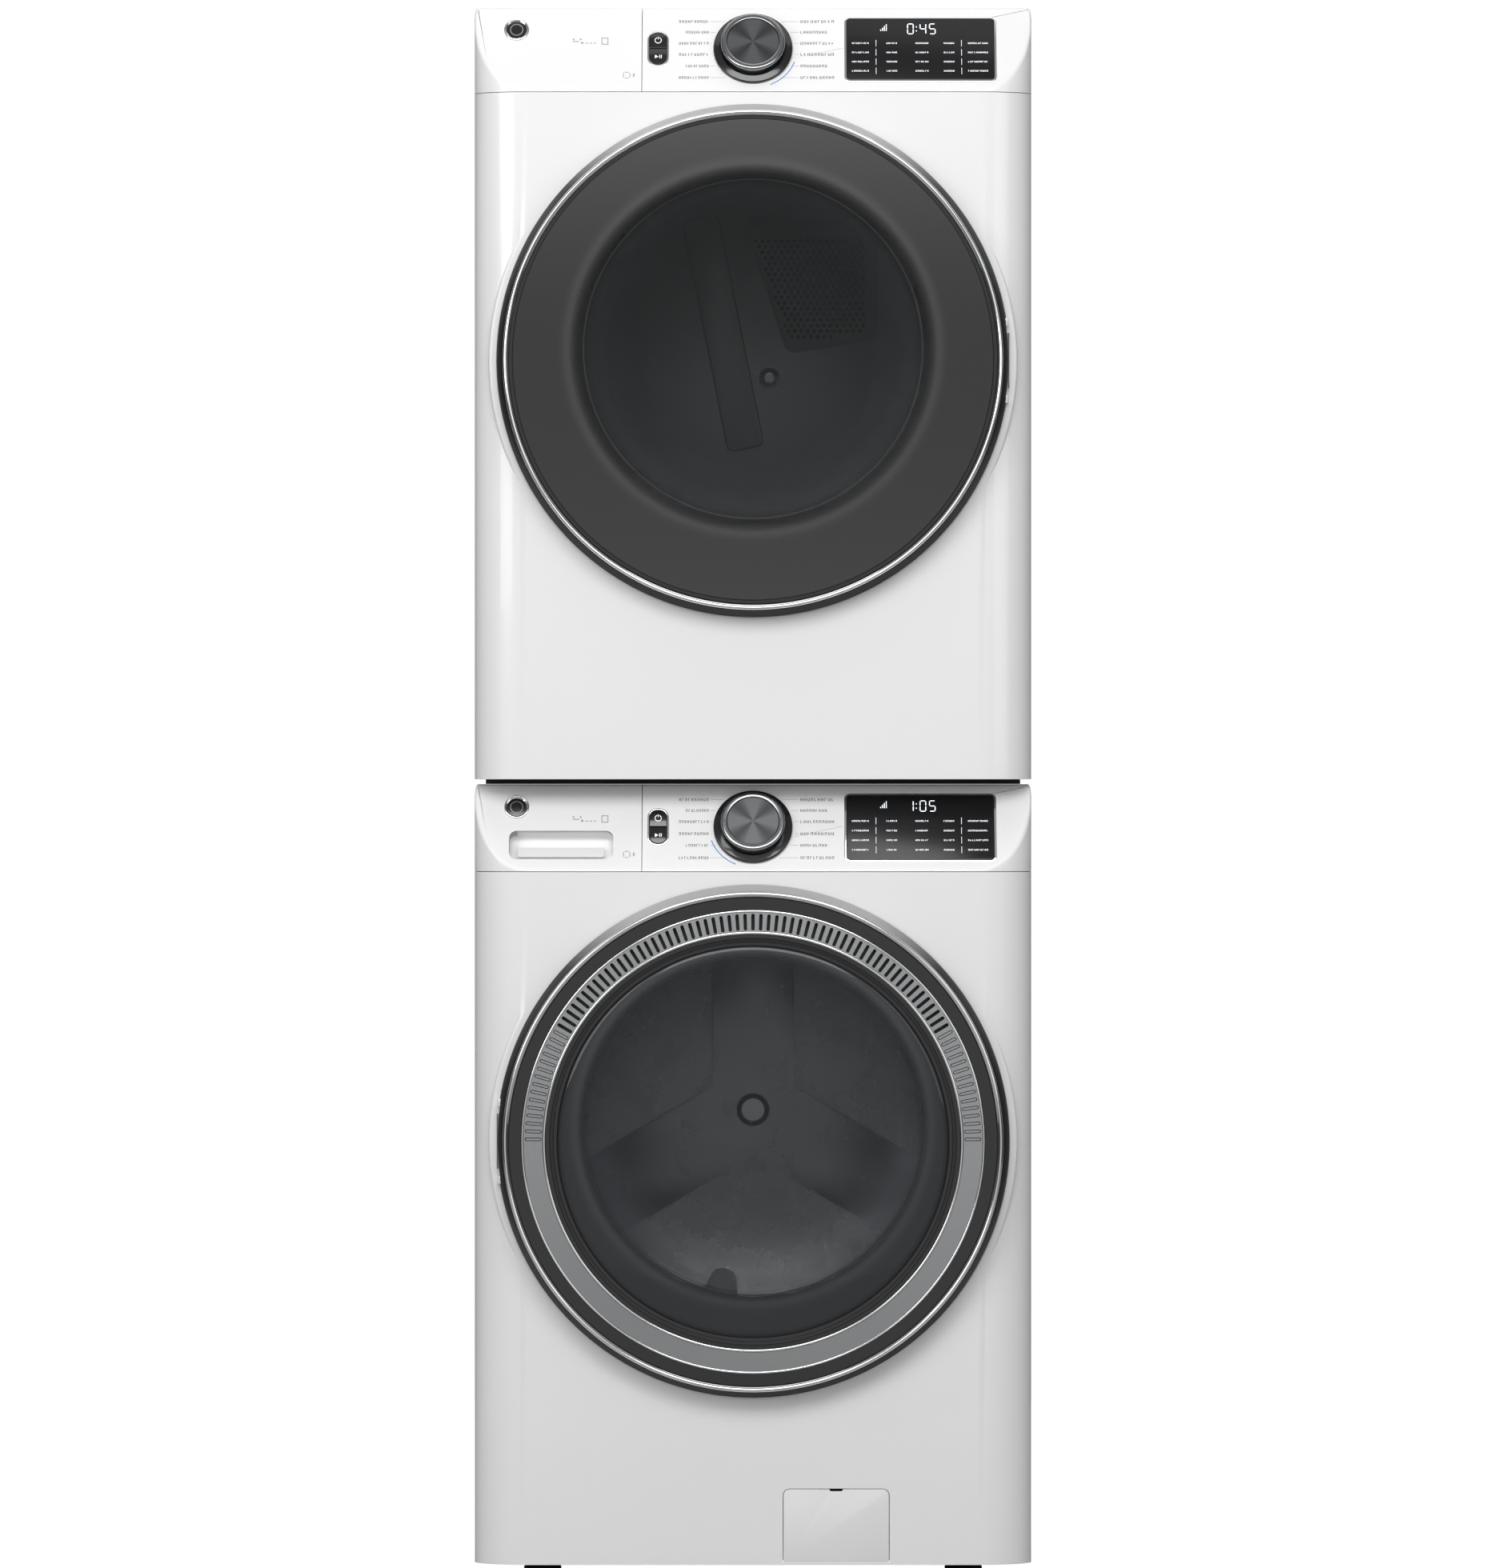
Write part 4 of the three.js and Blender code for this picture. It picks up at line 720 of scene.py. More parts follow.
def frontPanel(name, machine):
    s = frontSizes
    half, bottom, top = s["halfWidth"], machine["bottom"] / mm, machine["seam"] / mm - 0.8
    panel = roundBlock((-half, 0, bottom), (half, s["depth"], top))
    rollSides(panel)
    inEditMode(panel)
    chooseFaces(lambda at, normal: normal.y > 0.9 or abs(normal.z) > 0.9)
    bpy.ops.mesh.delete(type="FACE")
    leaveEditMode()
    applied(panel, "SOLIDIFY", thickness=s["skin"] * mm, offset=-1)
    doorZ, drumZ = machine["doorZ"], machine["drumZ"]
    radius, edge = s["bossRadius"], s["bossEdge"]
    boss = turned([(0, 0)] + arc(radius - edge, edge, edge, -90, 0, 6) + [(radius, s["bossDepth"]),
            (0, s["bossDepth"])], 192)
    boss.location = (0, 0, doorZ)
    settle(boss)
    hollow = turned([(0, 3), (radius - 3, 3), (radius - 3, 70), (0, 70)], 192)
    hollow.location = (0, 0, doorZ)
    settle(hollow)
    fuse(panel, boss)
    cutAway(panel, hollow)
    opening = s["opening"]
    lip = turned([(opening - 1, 1), (opening + 3, 1), (opening + 3, s["openingLip"]),
                  (opening - 1, s["openingLip"])], 128)
    lip.location = (0, 0, drumZ)
    settle(lip)
    hole = turned([(0, -5), (opening + 2, -5)] + arc(opening + 2, 2, 2, 270, 180, 4) + [(opening, 70),
            (0, 70)], 128)
    hole.location = (0, 0, drumZ)
    settle(hole)
    fuse(panel, lip)
    cutAway(panel, hole)
    if name == "washer":
        low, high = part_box("washer_service_flap")
        gap = 0.8
        hatch = roundBlock((low.x / mm - gap, -5, low.z / mm - gap),
                           (high.x / mm + gap, 8, high.z / mm + gap))
        inEditMode(hatch)
        chooseEdges(lambda a, b: abs(a.y - b.y) > 0.005 and a.z > 0.06)
        bpy.ops.mesh.bevel(offset=8.8 * mm, segments=8, affect="EDGES")
        leaveEditMode()
        cutAway(panel, hatch)
    placed(panel, 0, 0)
    lugs = []
    for rise in (-lugSizes["rise"], lugSizes["rise"]):
        inner, outer = sorted(machine["hinge"] * lugSizes[edge] for edge in ("inner", "outer"))
        foot = doorZ / mm + rise - lugSizes["halfHeight"]
        head = doorZ / mm + rise + lugSizes["halfHeight"]
        lug = roundBlock((inner, lugSizes["front"], foot), (outer, 3, head), 3, "Z", 4)
        lugs.append(placed(lug, 0, 0))
    hand(panel, name + "FrontPanel", finishes["enamel"], "root", "white_enamel", name + "_front_panel",
         angle=28)
    piece = softenEdges(gather(lugs), 0.6)
    hand(piece, name + "HingeLugs", finishes["enamel"], "root", "white_enamel")


fasciaSizes = {
    "rise": 111, "depth": 104, "corner": 18, "fold": 3.2, "skin": 3, "divider": -141.6, "gap": 0.4,
}


def fasciaBody():
    # the block above the seam with rolled sides, its front cut back along the slope
    s = fasciaSizes
    half = frontSizes["halfWidth"]
    body = roundBlock((-half, 0, -20), (half, s["depth"], s["rise"]))
    rollSides(body)
    inEditMode(body)
    edge = half * mm - 1e-5
    chooseEdges(lambda a, b: abs(a.y - b.y) > 0.02 and min(a.z, b.z) > 0.1 and abs(a.x) > edge)
    bpy.ops.mesh.bevel(offset=s["corner"] * mm, segments=10, affect="EDGES")
    bpy.ops.mesh.select_all(action="SELECT")
    bpy.ops.mesh.bisect(plane_co=(0, 0, 0), plane_no=(0, -math.cos(lean), math.sin(lean)),
                        use_fill=True, clear_outer=True)
    return leaveEditMode()


def foldSoftened(part):
    # rounds the outer edges of the slope, not the dividing line or the openings, and trims the foot
    s = fasciaSizes

    def onOutline(a, b):
        onSlope = all(abs(p.y * math.cos(lean) - p.z * math.sin(lean)) < 1e-5 for p in (a, b))
        atDivider = all(abs(p.x - s["divider"] * mm) < 0.002 for p in (a, b))
        outer = (min(abs(a.x), abs(b.x)) > 0.316 or max(a.z, b.z) < 0.014 or min(a.z, b.z) > 0.1)
        return onSlope and outer and not atDivider

    inEditMode(part)
    chooseEdges(onOutline)
    bpy.ops.mesh.bevel(offset=s["fold"] * mm, segments=5, affect="EDGES")
    bpy.ops.mesh.select_all(action="SELECT")
    bpy.ops.mesh.bisect(plane_co=(0, 0, 0), plane_no=(0, 0, -1), use_fill=True, clear_outer=True)
    leaveEditMode()
    return turnFaces(part)


def halfOf(body, left):
    # one side of the dividing line
    s = fasciaSizes
    part = copyOf(body)
    inEditMode(part)
    bpy.ops.mesh.select_all(action="SELECT")
    side = -1 if left else 1
    cutX = (s["divider"] + side * s["gap"]) * mm
    bpy.ops.mesh.bisect(plane_co=(cutX, 0, 0), plane_no=(-side, 0, 0), use_fill=True, clear_outer=True)
    leaveEditMode()
    return turnFaces(part)


def hollowed(part):
    # leaves a wall on the front, the top and both ends, open behind and below
    inner = fasciaSizes["divider"] - fasciaSizes["skin"]
    front = sloped(roundBlock((-300, 4.8, -60), (inner, 70, 102)))
    corner = sloped(roundBlock((-346, 32, -60), (-299, 70, 102)))
    behind = roundBlock((-350, 58, -5), (inner, 120, 107))
    return cutAway(part, front, corner, behind)


def sloped(piece):
    # a flat drawing laid on the slope while the seam is still at height zero
    settle(piece)
    piece.rotation_euler = (-lean, 0, 0)
    return settle(piece)


pocketSizes = {"x": -244.5, "width": 133, "bottom": 17, "rise": 40, "corner": 10, "depth": 20,
               "wall": 2}


def fingerPocket(machine):
    # the scooped grip in the drawer front
    s = pocketSizes
    left, right = s["x"] - s["width"] / 2, s["x"] + s["width"] / 2
    cup = roundBlock((left, 0.4, s["bottom"]), (right, s["depth"], s["bottom"] + s["rise"]),
                     s["corner"], "Y", 8)
    inEditMode(cup)
    chooseFaces(lambda at, normal: normal.y > 0.9)
    bpy.ops.mesh.bevel(offset=5 * mm, segments=5, affect="EDGES")
    chooseFaces(lambda at, normal: normal.y < -0.9)
    bpy.ops.mesh.delete(type="FACE")
    leaveEditMode()
    applied(cup, "SOLIDIFY", thickness=s["wall"] * mm, offset=1)
    leaned(cup, machine)
    hand(cup, "drawerGrip", finishes["whitePlastic"], "washer_drawer", "white_plastic")


def fascia(name, machine):
    body = fasciaBody()
    right = halfOf(body, False)
    left = halfOf(body, True)
    bpy.data.objects.remove(body, do_unlink=True)
    b = buttonSizes
    window = roundBlock((b["x"] - b["width"] / 2, -10, b["top"] - b["length"]),
                        (b["x"] + b["width"] / 2, 8, b["top"]), b["width"] / 2 - 0.8, "Y", 12)
    cutAway(right, sloped(window))
    foldSoftened(right)
    foldSoftened(left)
    if name == "washer":
        left = hollowed(left)
        p = pocketSizes
        mouth = roundBlock((p["x"] - p["width"] / 2, -10, p["bottom"]),
                           (p["x"] + p["width"] / 2, 30, p["bottom"] + p["rise"]), p["corner"], "Y", 8)
        cutAway(left, sloped(mouth))
    for part in (left, right):
        part.location = (0, faceY, machine["seam"])
        settle(part)
    hand(right, name + "ControlFascia", finishes["whitePlastic"], "root", "white_plastic",
         name + "_control_panel", angle=28)
    if name == "washer":
        hand(left, "drawerFascia", finishes["whitePlastic"], "washer_drawer", "white_plastic",
             "washer_drawer_front", angle=28)
        rib = roundBlock((-300, 24, 18), (-190, 60, 30), 2, "Y", 3)
        leanFree = placed(rib, 0, machine["seam"])
        hand(leanFree, "drawerRib", finishes["whitePlastic"], "washer_drawer", "white_plastic")
        fingerPocket(machine)
    else:
        hand(left, "dryerTrimFascia", finishes["whitePlastic"], "root", "white_plastic",
             "dryer_trim_panel", angle=28)


def serviceFlap():
    # the hatch low on the front, with a finger notch in its top edge
    low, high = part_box("washer_service_flap")
    corners = [(v.x / mm, (v.y - faceY) / mm, v.z / mm) for v in (low, high)]
    flap = roundBlock(*corners)
    inEditMode(flap)
    chooseEdges(lambda a, b: abs(a.y - b.y) > 0.001 and a.z > low.z + 0.01)
    bpy.ops.mesh.bevel(offset=8 * mm, segments=8, affect="EDGES")
    leaveEditMode()
    middle = (corners[0][0] + corners[1][0]) / 2
    notch = roundBlock((middle - 8.5, -2, corners[1][2] - 2.6), (middle + 8.5, 6, corners[1][2] + 6),
                       2.2, "Y", 4)
    cutAway(flap, notch)
    softenEdges(flap, 0.5, 2)
    placed(flap, 0, 0)
    hand(flap, "serviceFlap", finishes["enamel"], "washer_flap", "white_enamel", "washer_service_flap")


def topPanel(name, machine):
    low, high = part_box(name + "_top_panel")
    half = frontSizes["halfWidth"]
    front, back = (low.y - faceY) / mm, (high.y - faceY) / mm
    lid = roundBlock((-half, front, low.z / mm), (half, back, high.z / mm))
    inEditMode(lid)
    chooseEdges(lambda a, b: abs(a.y - b.y) > 0.1 and a.z > machine["top"] - 0.001)
    bpy.ops.mesh.bevel(offset=18 * mm, segments=12, affect="EDGES")
    leaveEditMode()
    softenEdges(lid, 1.2, 3, 50)
    placed(lid, 0, 0)
    hand(lid, name + "Lid", finishes["enamel"], "root", "white_enamel", name + "_top_panel")


buttonSizes = {"x": -121, "top": 86, "width": 23, "length": 47.6, "rim": 2.2, "proud": 1.2}
knobSizes = {"up": 61.5, "skirt": 50.5, "skirtHeight": 8, "ring": 41, "face": 32.9, "reach": 22}
displaySizes = {"left": 119, "width": 189, "bottom": 15.5, "rise": 91, "corner": 5, "rim": 2.6,
                "proud": 0.6}


def knob(name, machine):
    s = knobSizes
    seat = turned([(0, -0.2), (s["skirt"], -0.2)] + arc(s["skirt"] - 2, -s["skirtHeight"] + 5, 2, 0,
                                                        -90, 5)
                  + [(s["ring"] + 1.5, -s["skirtHeight"] + 1), (s["ring"] + 1, -s["skirtHeight"] + 3),
                     (0, -s["skirtHeight"] + 3)], 96)
    edge = 3.0
    ring = turned([(s["face"], -s["skirtHeight"] + 3), (s["ring"] - 1, -s["skirtHeight"] + 3),
                   (s["ring"], -s["skirtHeight"] + 2)]
                  + arc(s["ring"] - edge, -s["reach"] + edge, edge, 0, -90, 8)
                  + arc(s["face"] + 1.5, -s["reach"] + 1.5, 1.5, -90, -180, 4), 128)
    face = turned([(0, -s["reach"] + 1.4), (s["face"] - 0.3, -s["reach"] + 1.4),
                   (s["face"] + 0.2, -s["reach"] + 2.4),
                   (s["face"] + 0.2, -10), (0, -10)], 96)
    up = s["up"] * mm
    for piece in (seat, ring, face):
        piece.location = (0, 0, up)
        leaned(piece, machine)
    hand(seat, name + "KnobSkirt", finishes["blackPlastic"], name + "_dial", "black_plastic",
         name + "_knob")
    hand(ring, name + "KnobRing", finishes["smokedChrome"], name + "_dial", "chrome_trim")
    centre = (0, faceY + math.sin(lean) * up, machine["seam"] + math.cos(lean) * up)
    # the knob face's colour carries a painted highlight fanning round its middle
    spun = spunFinish(name + "SpunKnobFace", (0.054, 0.055, 0.057), 0.4, centre, lean, 2500.0,
                      paintedSheen=1.1)
    hand(face, name + "KnobFace", spun, name + "_dial", "vent_silver")


def markPiece(marks, machine, thickness=0.12, out=0.0):
    # small printed bars: one is modelled, the rest are copies brought to size
    first = roundBlock((-0.5, -0.5, -0.5), (0.5, 0.5, 0.5), 0.12, "Y", 2)
    copies = []
    for x, up, wide, high in marks:
        mark = copyOf(first)
        mark.scale = (wide, thickness, high)
        mark.location = (x * mm, -out * mm, up * mm)
        copies.append(settle(mark))
    bpy.data.objects.remove(first, do_unlink=True)
    return leaned(gather(copies), machine)


def buttons(name, machine):
    s = buttonSizes
    middle = s["top"] - s["length"] / 2
    half = s["width"] / 2
    collar = roundBlock((s["x"] - half - s["rim"], -1.1, s["top"] - s["length"] - s["rim"]),
                        (s["x"] + half + s["rim"], 1.5, s["top"] + s["rim"]), half + s["rim"] - 0.8,
                        "Y", 12)
    inner = roundBlock((s["x"] - half, -5, s["top"] - s["length"]), (s["x"] + half, 5, s["top"]),
                       half - 0.8, "Y", 12)
    cutAway(collar, inner)
    softenEdges(collar, 0.5, 3, 50)
    leaned(collar, machine)
    hand(collar, name + "ButtonCollar", finishes["chrome"], "root", "chrome_trim")
    for key, low, high in (("Power", middle + 0.5, s["top"] - 0.5),
                           ("Start", s["top"] - s["length"] + 0.5, middle - 0.5)):
        cap = roundBlock((s["x"] - half + 0.5, -s["proud"], s["top"] - s["length"] + 0.5),
                         (s["x"] + half - 0.5, 4.8 - s["proud"], s["top"] - 0.5), half - 1.3, "Y", 12)
        inEditMode(cap)
        bpy.ops.mesh.select_all(action="SELECT")
        upper = key == "Power"
        cutZ = (low if upper else high) * mm
        bpy.ops.mesh.bisect(plane_co=(0, 0, cutZ), plane_no=(0, 0, -1 if upper else 1), use_fill=True,
                            clear_outer=True)
        leaveEditMode()
        softenEdges(cap, 0.5, 3)
        leaned(cap, machine)
        hand(cap, name + key + "Button", finishes["blackPlastic"], name + "_" + key.lower(),
             "black_plastic",
             name + "_" + key.lower() + "_button")
    icons(name, machine)


def icons(name, machine):
    # a ring with a stroke for power; a triangle and two strokes for start and pause
    s = buttonSizes
    upperZ = s["top"] - s["length"] / 4
    lowerZ = s["top"] - 3 * s["length"] / 4
    ring = turned([(3.6, -0.1), (4.4, -0.1), (4.4, 0.15), (3.6, 0.15)], 32)
    gap = roundBlock((-1.3, -2, 1), (1.3, 2, 6))
    cutAway(ring, gap)
    stroke = roundBlock((-0.4, -0.1, 1.4), (0.4, 0.15, 5.2), 0.2, "Y", 2)
    power = gather([ring, stroke])
    power.location = (s["x"] * mm, -s["proud"] * mm, upperZ * mm)
    leaned(power, machine)
    hand(power, name + "PowerIcon", finishes["whitePrint"], name + "_power", "white_plastic")
    deselectAll()
    bpy.ops.mesh.primitive_cylinder_add(vertices=3, radius=2.9 * mm, depth=0.25 * mm,
                                        rotation=(math.pi / 2, 0, 0))
    triangle = settle(bpy.context.object)
    triangle.rotation_euler = (0, math.radians(90), 0)
    triangle.location = (-2.6 * mm, 0, 0)
    settle(triangle)
    strokes = [roundBlock((x, -0.1, -2.4), (x + 0.9, 0.15, 2.4), 0.2, "Y", 2) for x in (1.6, 3.6)]
    start = gather([triangle] + strokes)
    start.location = (s["x"] * mm, -s["proud"] * mm, lowerZ * mm)
    leaned(start, machine)
    hand(start, name + "StartIcon", finishes["whitePrint"], name + "_start", "white_plastic")


sevenSegments = {0: "abcdef", 1: "bc", 2: "abged", 3: "abgcd", 4: "fgbc", 5: "afgcd", 6: "afgedc",
                 7: "abc", 8: "abcdefg", 9: "abcdfg"}


def digitMarks(digit, x, up, wide=7.2, high=14.5, bar=1.3):
    places = {
        "a": (x, up + high / 2, wide - bar, bar), "g": (x, up, wide - bar, bar),
        "d": (x, up - high / 2, wide - bar, bar),
        "f": (x - wide / 2, up + high / 4, bar, high / 2 - bar),
        "b": (x + wide / 2, up + high / 4, bar, high / 2 - bar),
        "e": (x - wide / 2, up - high / 4, bar, high / 2 - bar),
        "c": (x + wide / 2, up - high / 4, bar, high / 2 - bar),
    }
    return [places[part] for part in sevenSegments[digit]]


def wordMarks(x, up, wide, letters, high=3.0):
    # a word shown as a row of plain strokes, no two quite alike
    pitch = wide / letters
    marks = []
    for i in range(letters):
        middle = x + (i + 0.5) * pitch
        stem = pitch * 0.2
        marks.append((middle - pitch * 0.25, up, stem, high))
        if draw.random() < 0.75:
            marks.append((middle + pitch * 0.2, up, stem, high))
        marks.append((middle - pitch * 0.02, up + high * draw.choice((-0.42, 0.0, 0.42)), pitch * 0.4,
                      high * 0.17))
    return marks


draw = random.Random(4)


def display(name, machine, digits):
    s = displaySizes
    left, right = s["left"], s["left"] + s["width"]
    low, high = s["bottom"], s["bottom"] + s["rise"]
    if name == "dryer":
        low, high = low + 1.0, high - 0.3
    glass = roundBlock((left, -s["proud"], low), (right, 2.0, high), s["corner"], "Y", 8)
    softenEdges(glass, 0.35, 2)
    leaned(glass, machine)
    hand(glass, name + "DisplayGlass", finishes["displayBlack"], "root", "display_black",
         name + "_display")
    rim = roundBlock((left - s["rim"], -0.9, low - s["rim"]), (right + s["rim"], 1.2, high + s["rim"]),
                     s["corner"] + s["rim"], "Y", 10)
    softenEdges(rim, 0.6, 3)
    inner = roundBlock((left, -5, low), (right, 5, high), s["corner"], "Y", 8)
    cutAway(rim, inner)
    leaned(rim, machine)
    hand(rim, name + "DisplayRim", finishes["chrome"], "root", "chrome_trim")
    marks = []
    for index, digit in enumerate(digits):
        marks += digitMarks(digit, 201 + index * 12.0 + (4.0 if index else 0.0), high - 15)
    marks += [(208.6, high - 12, 1.4, 1.4), (208.6, high - 18, 1.4, 1.4)]
    rows = [high - 36 - 13.5 * i for i in range(4)]
    for row in rows:
        for x, letters, wide in ((126, 9, 22), (170, 6, 14), (207, 7, 17), (243, 6, 14), (274, 10, 26)):
            marks += wordMarks(x, row, wide, letters, 2.2)
    for row in rows:
        marks += [(156.9, row, 0.5, 9.5), (266, row, 0.5, 9.5)]
    marks += [(163 + i * 2.4, high - 17 + i * 1.3, 1.1, 2.2 + 2.6 * i) for i in range(4)]
    piece = markPiece(marks, machine, 0.12, s["proud"] + 0.03)
    hand(piece, name + "DisplayMarks", finishes["whitePrint"], "root", "white_plastic")


def labels(name, machine, rows, arcSide):
    s = knobSizes
    marks, leaders = [], []
    for index, up in enumerate(rows):
        for side, start, stop in ((-1, -95, -56), (1, 60, 104)):
            shrink = 9 * (1 if index in (1, 4) else 0)
            x = start + (shrink if side < 0 else 0)
            marks += wordMarks(x, up, stop - start - shrink,
                               10 + (index * 2) % 3 - (3 if shrink else 0), 3.9)
            near = side * (math.sqrt(max(0.0, 54 ** 2 - (up - s["up"]) ** 2)))
            far = (stop + 1.5) if side < 0 else (start - 1.5)
            if abs(near) < abs(far):
                leaders.append(((near + far) / 2, up, abs(far - near), 0.5))
    hand(markPiece(marks, machine), name + "CycleLabels", finishes["print"], "root", "black_plastic")
    hand(markPiece(leaders, machine), name + "CycleLeaders", finishes["palePrint"], "root",
         "black_plastic")
    ring = turned([(55.2, -0.08), (56.6, -0.08), (56.6, 0.1), (55.2, 0.1)], 128)
    keep = roundBlock((0, -2, -70), (70, 2, -18)) if arcSide > 0 else roundBlock((-70, -2, -70),
            (0, 2, -18))
    applied(ring, "BOOLEAN", operation="INTERSECT", solver="EXACT", object=keep)
    bpy.data.objects.remove(keep, do_unlink=True)
    trim = roundBlock((-22, -3, -80), (22, 3, -10))
    cutAway(ring, trim)
    ring.location = (0, 0, s["up"] * mm)
    leaned(ring, machine)
    hand(ring, name + "CycleArc", finishes["bluePrint"], "root", "black_plastic")


badgeSizes = {"x": -301.8, "up": 89.9}


def badge(name, machine, body):
    # a plain round badge, rimmed in chrome
    rim = turned([(12.6, 0.2), (16.3, 0.2)] + arc(14.8, -1.1, 1.3, 0, -180, 8) + [(12.6, -0.6)], 96)
    face = turned([(0, -0.5), (9, -0.45), (12.7, -0.1), (12.7, 0.3), (0, 0.3)], 96)
    inlay = turned([(7.2, -0.62), (8.6, -0.62), (8.6, -0.3), (7.2, -0.3)], 64)
    for piece, label, finish, slotName in ((rim, "BadgeRim", "chrome", "chrome_trim"),
                                           (face, "BadgeFace", "blackPlastic", "black_plastic"),
                                           (inlay, "BadgeInlay", "chrome", "chrome_trim")):
        piece.location = (badgeSizes["x"] * mm, 0, badgeSizes["up"] * mm)
        leaned(piece, machine)
        hand(piece, name + label, finishes[finish], body, slotName)


def sideIcons(name, machine, body):
    # small pale symbols at the left, as plain strokes
    marks = [(-229, 76, 2.2, 2.2), (-226, 73, 8.5, 1.3), (-220, 76, 2.2, 2.2), (-218, 71, 3.0, 3.0),
             (-212, 70.5, 3, 1.2), (-207, 70.5, 3, 1.2), (-202, 70.5, 3, 1.2),
             (-189, 78, 9, 1.2), (-189, 69, 9, 1.2), (-192.8, 73.5, 1.2, 8), (-185.2, 73.5, 1.2, 8)]
    hand(markPiece(marks, machine), name + "SideSymbols", finishes["palePrint"], body, "white_plastic")
    ring = [(-161, 28, 5, 1.1), (-161, 19.5, 5, 1.1), (-165, 23.8, 1.1, 7), (-157, 23.8, 1.1, 7),
            (-152, 23.8, 2, 5)]
    hand(markPiece(ring, machine), name + "LockSymbol", finishes["palePrint"], body, "white_plastic")


doorSizes = {
    "frame": 326.5, "lip": 318, "frameFront": -32.7, "frameBack": -2, "hole": 238, "plate": 5,
    "recess": 18, "seat": 306,
    "rimWall": 26.5, "trimInner": 310, "trimOuter": 317.7, "trimBack": -33,
}


def doorFrame(name, machine):
    s = doorSizes
    recess = s["recess"] if name == "washer" else 0
    plate = s["frameFront"] + recess
    inner = s["frame"] - s["rimWall"]
    step = [(s["seat"], s["frameFront"]), (s["seat"], plate)] if recess else []
    profile = ([(s["frame"] - 1, s["frameBack"]), (s["frame"], s["frameBack"] - 1),
                (s["frame"], s["frameBack"] - 6),
                (s["frame"] - 1.2, s["frameBack"] - 9), (s["lip"] + 0.6, s["frameFront"] + 2),
                (s["lip"] - 0.6, s["frameFront"])]
               + step + [(s["hole"], plate), (s["hole"], plate + s["plate"]),
                         (inner, plate + s["plate"]), (inner, s["frameBack"])])
    ring = turned(profile, 192)
    side = machine["hinge"]
    low, high = sorted((side * (inner - 6), side * 352))
    notch = roundBlock((low, -12.6, -47), (high, 4, 47), 2, "Y", 3)
    cutAway(ring, notch)
    placed(ring, 0, machine["doorZ"])
    # the ring's colour carries a painted reflection, pale over the top
    paintedReflectionCone = coneWithPaintedReflection(name + "ConeRingPaintedReflection", machine["doorZ"], (0.46, 0.46, 0.465))
    hand(ring, name + "DoorFrame", paintedReflectionCone, name + "_door", "black_plastic", name + "_door_frame")


def trimRing(name, machine):
    s = doorSizes
    inner, outer, back = s["trimInner"], s["trimOuter"], s["trimBack"]
    profile = [(inner, back), (inner, back - 1.8), (inner + 0.5, back - 2.6), (inner + 3.4, back - 4.5),
               (inner + 4.3, back - 4.95), (inner + 5.4, back - 4.95), (outer - 1.2, back - 4.4),
               (outer - 0.4, back - 3.4),
               (outer, back - 2.2), (outer, back)]
    spunPiece(profile, 192, machine["doorZ"], name + "DoorTrim", "chrome", name + "_door",
              "chrome_trim",
              name + "_door_trim_ring")
    if name == "dryer":
        # the fine dark line between chrome and glass
        line = [(inner - 4.2, -33), (inner - 0.2, -33), (inner - 0.2, -36.6), (inner - 4.2, -36.6)]
        spunPiece(line, 192, machine["doorZ"], name + "DoorLine", "blackPlastic", name + "_door",
                  "black_plastic")


def dryerGlass(machine):
    # a shallow dome of smoked glass
    edge = 305.4
    profile = [(0, -37.9), (edge * 0.5, -37.6), (edge * 0.8, -37.2), (edge - 1, -36.7), (edge, -36),
               (edge, -33.2), (0, -33.2)]
    spunPiece(profile, 192, machine["doorZ"], "dryerDoorGlass", "smokedGlass", "dryer_door",
              "dark_glass",
              "dryer_door_window")


def doorBowl(name, machine, depth):
    outer, back = 214, -2.3
    rise = (machine["drumZ"] - machine["doorZ"]) / mm
    flange = 299.7 - rise
    profile = [(0, depth), (150, depth), (174, depth - 6), (195, depth * 0.78), (205, depth * 0.5),
               (outer, 6), (outer, back),
               (flange, back), (flange, back - 3.5), (outer - 5, back - 3.5), (outer - 5, 5),
               (200, depth * 0.5 - 2),
               (190, depth * 0.76 - 3), (171, depth - 11), (149, depth - 5), (0, depth - 5)]
    spunPiece(profile, 144, machine["drumZ"], name + "DoorBowl", "clearBowl", name + "_door",
              "clear_bowl",
              name + "_door_bowl", angle=50)
    # the moulded rib round the bowl's mouth, seen as a thin circle through the glass
    spunPiece(arc(216, back - 4.4, 1.0, 0, 360, 10)[:-1], 144, machine["drumZ"], name + "BowlRib",
              "paleGrey",
              name + "_door", "grey_plastic")


ventSizes = {"count": 89, "open": 59, "pitch": 2.03, "slotInner": 268.4, "slotOuter": 289.6,
             "slotWidth": 4.4, "pipWidth": 2.7}


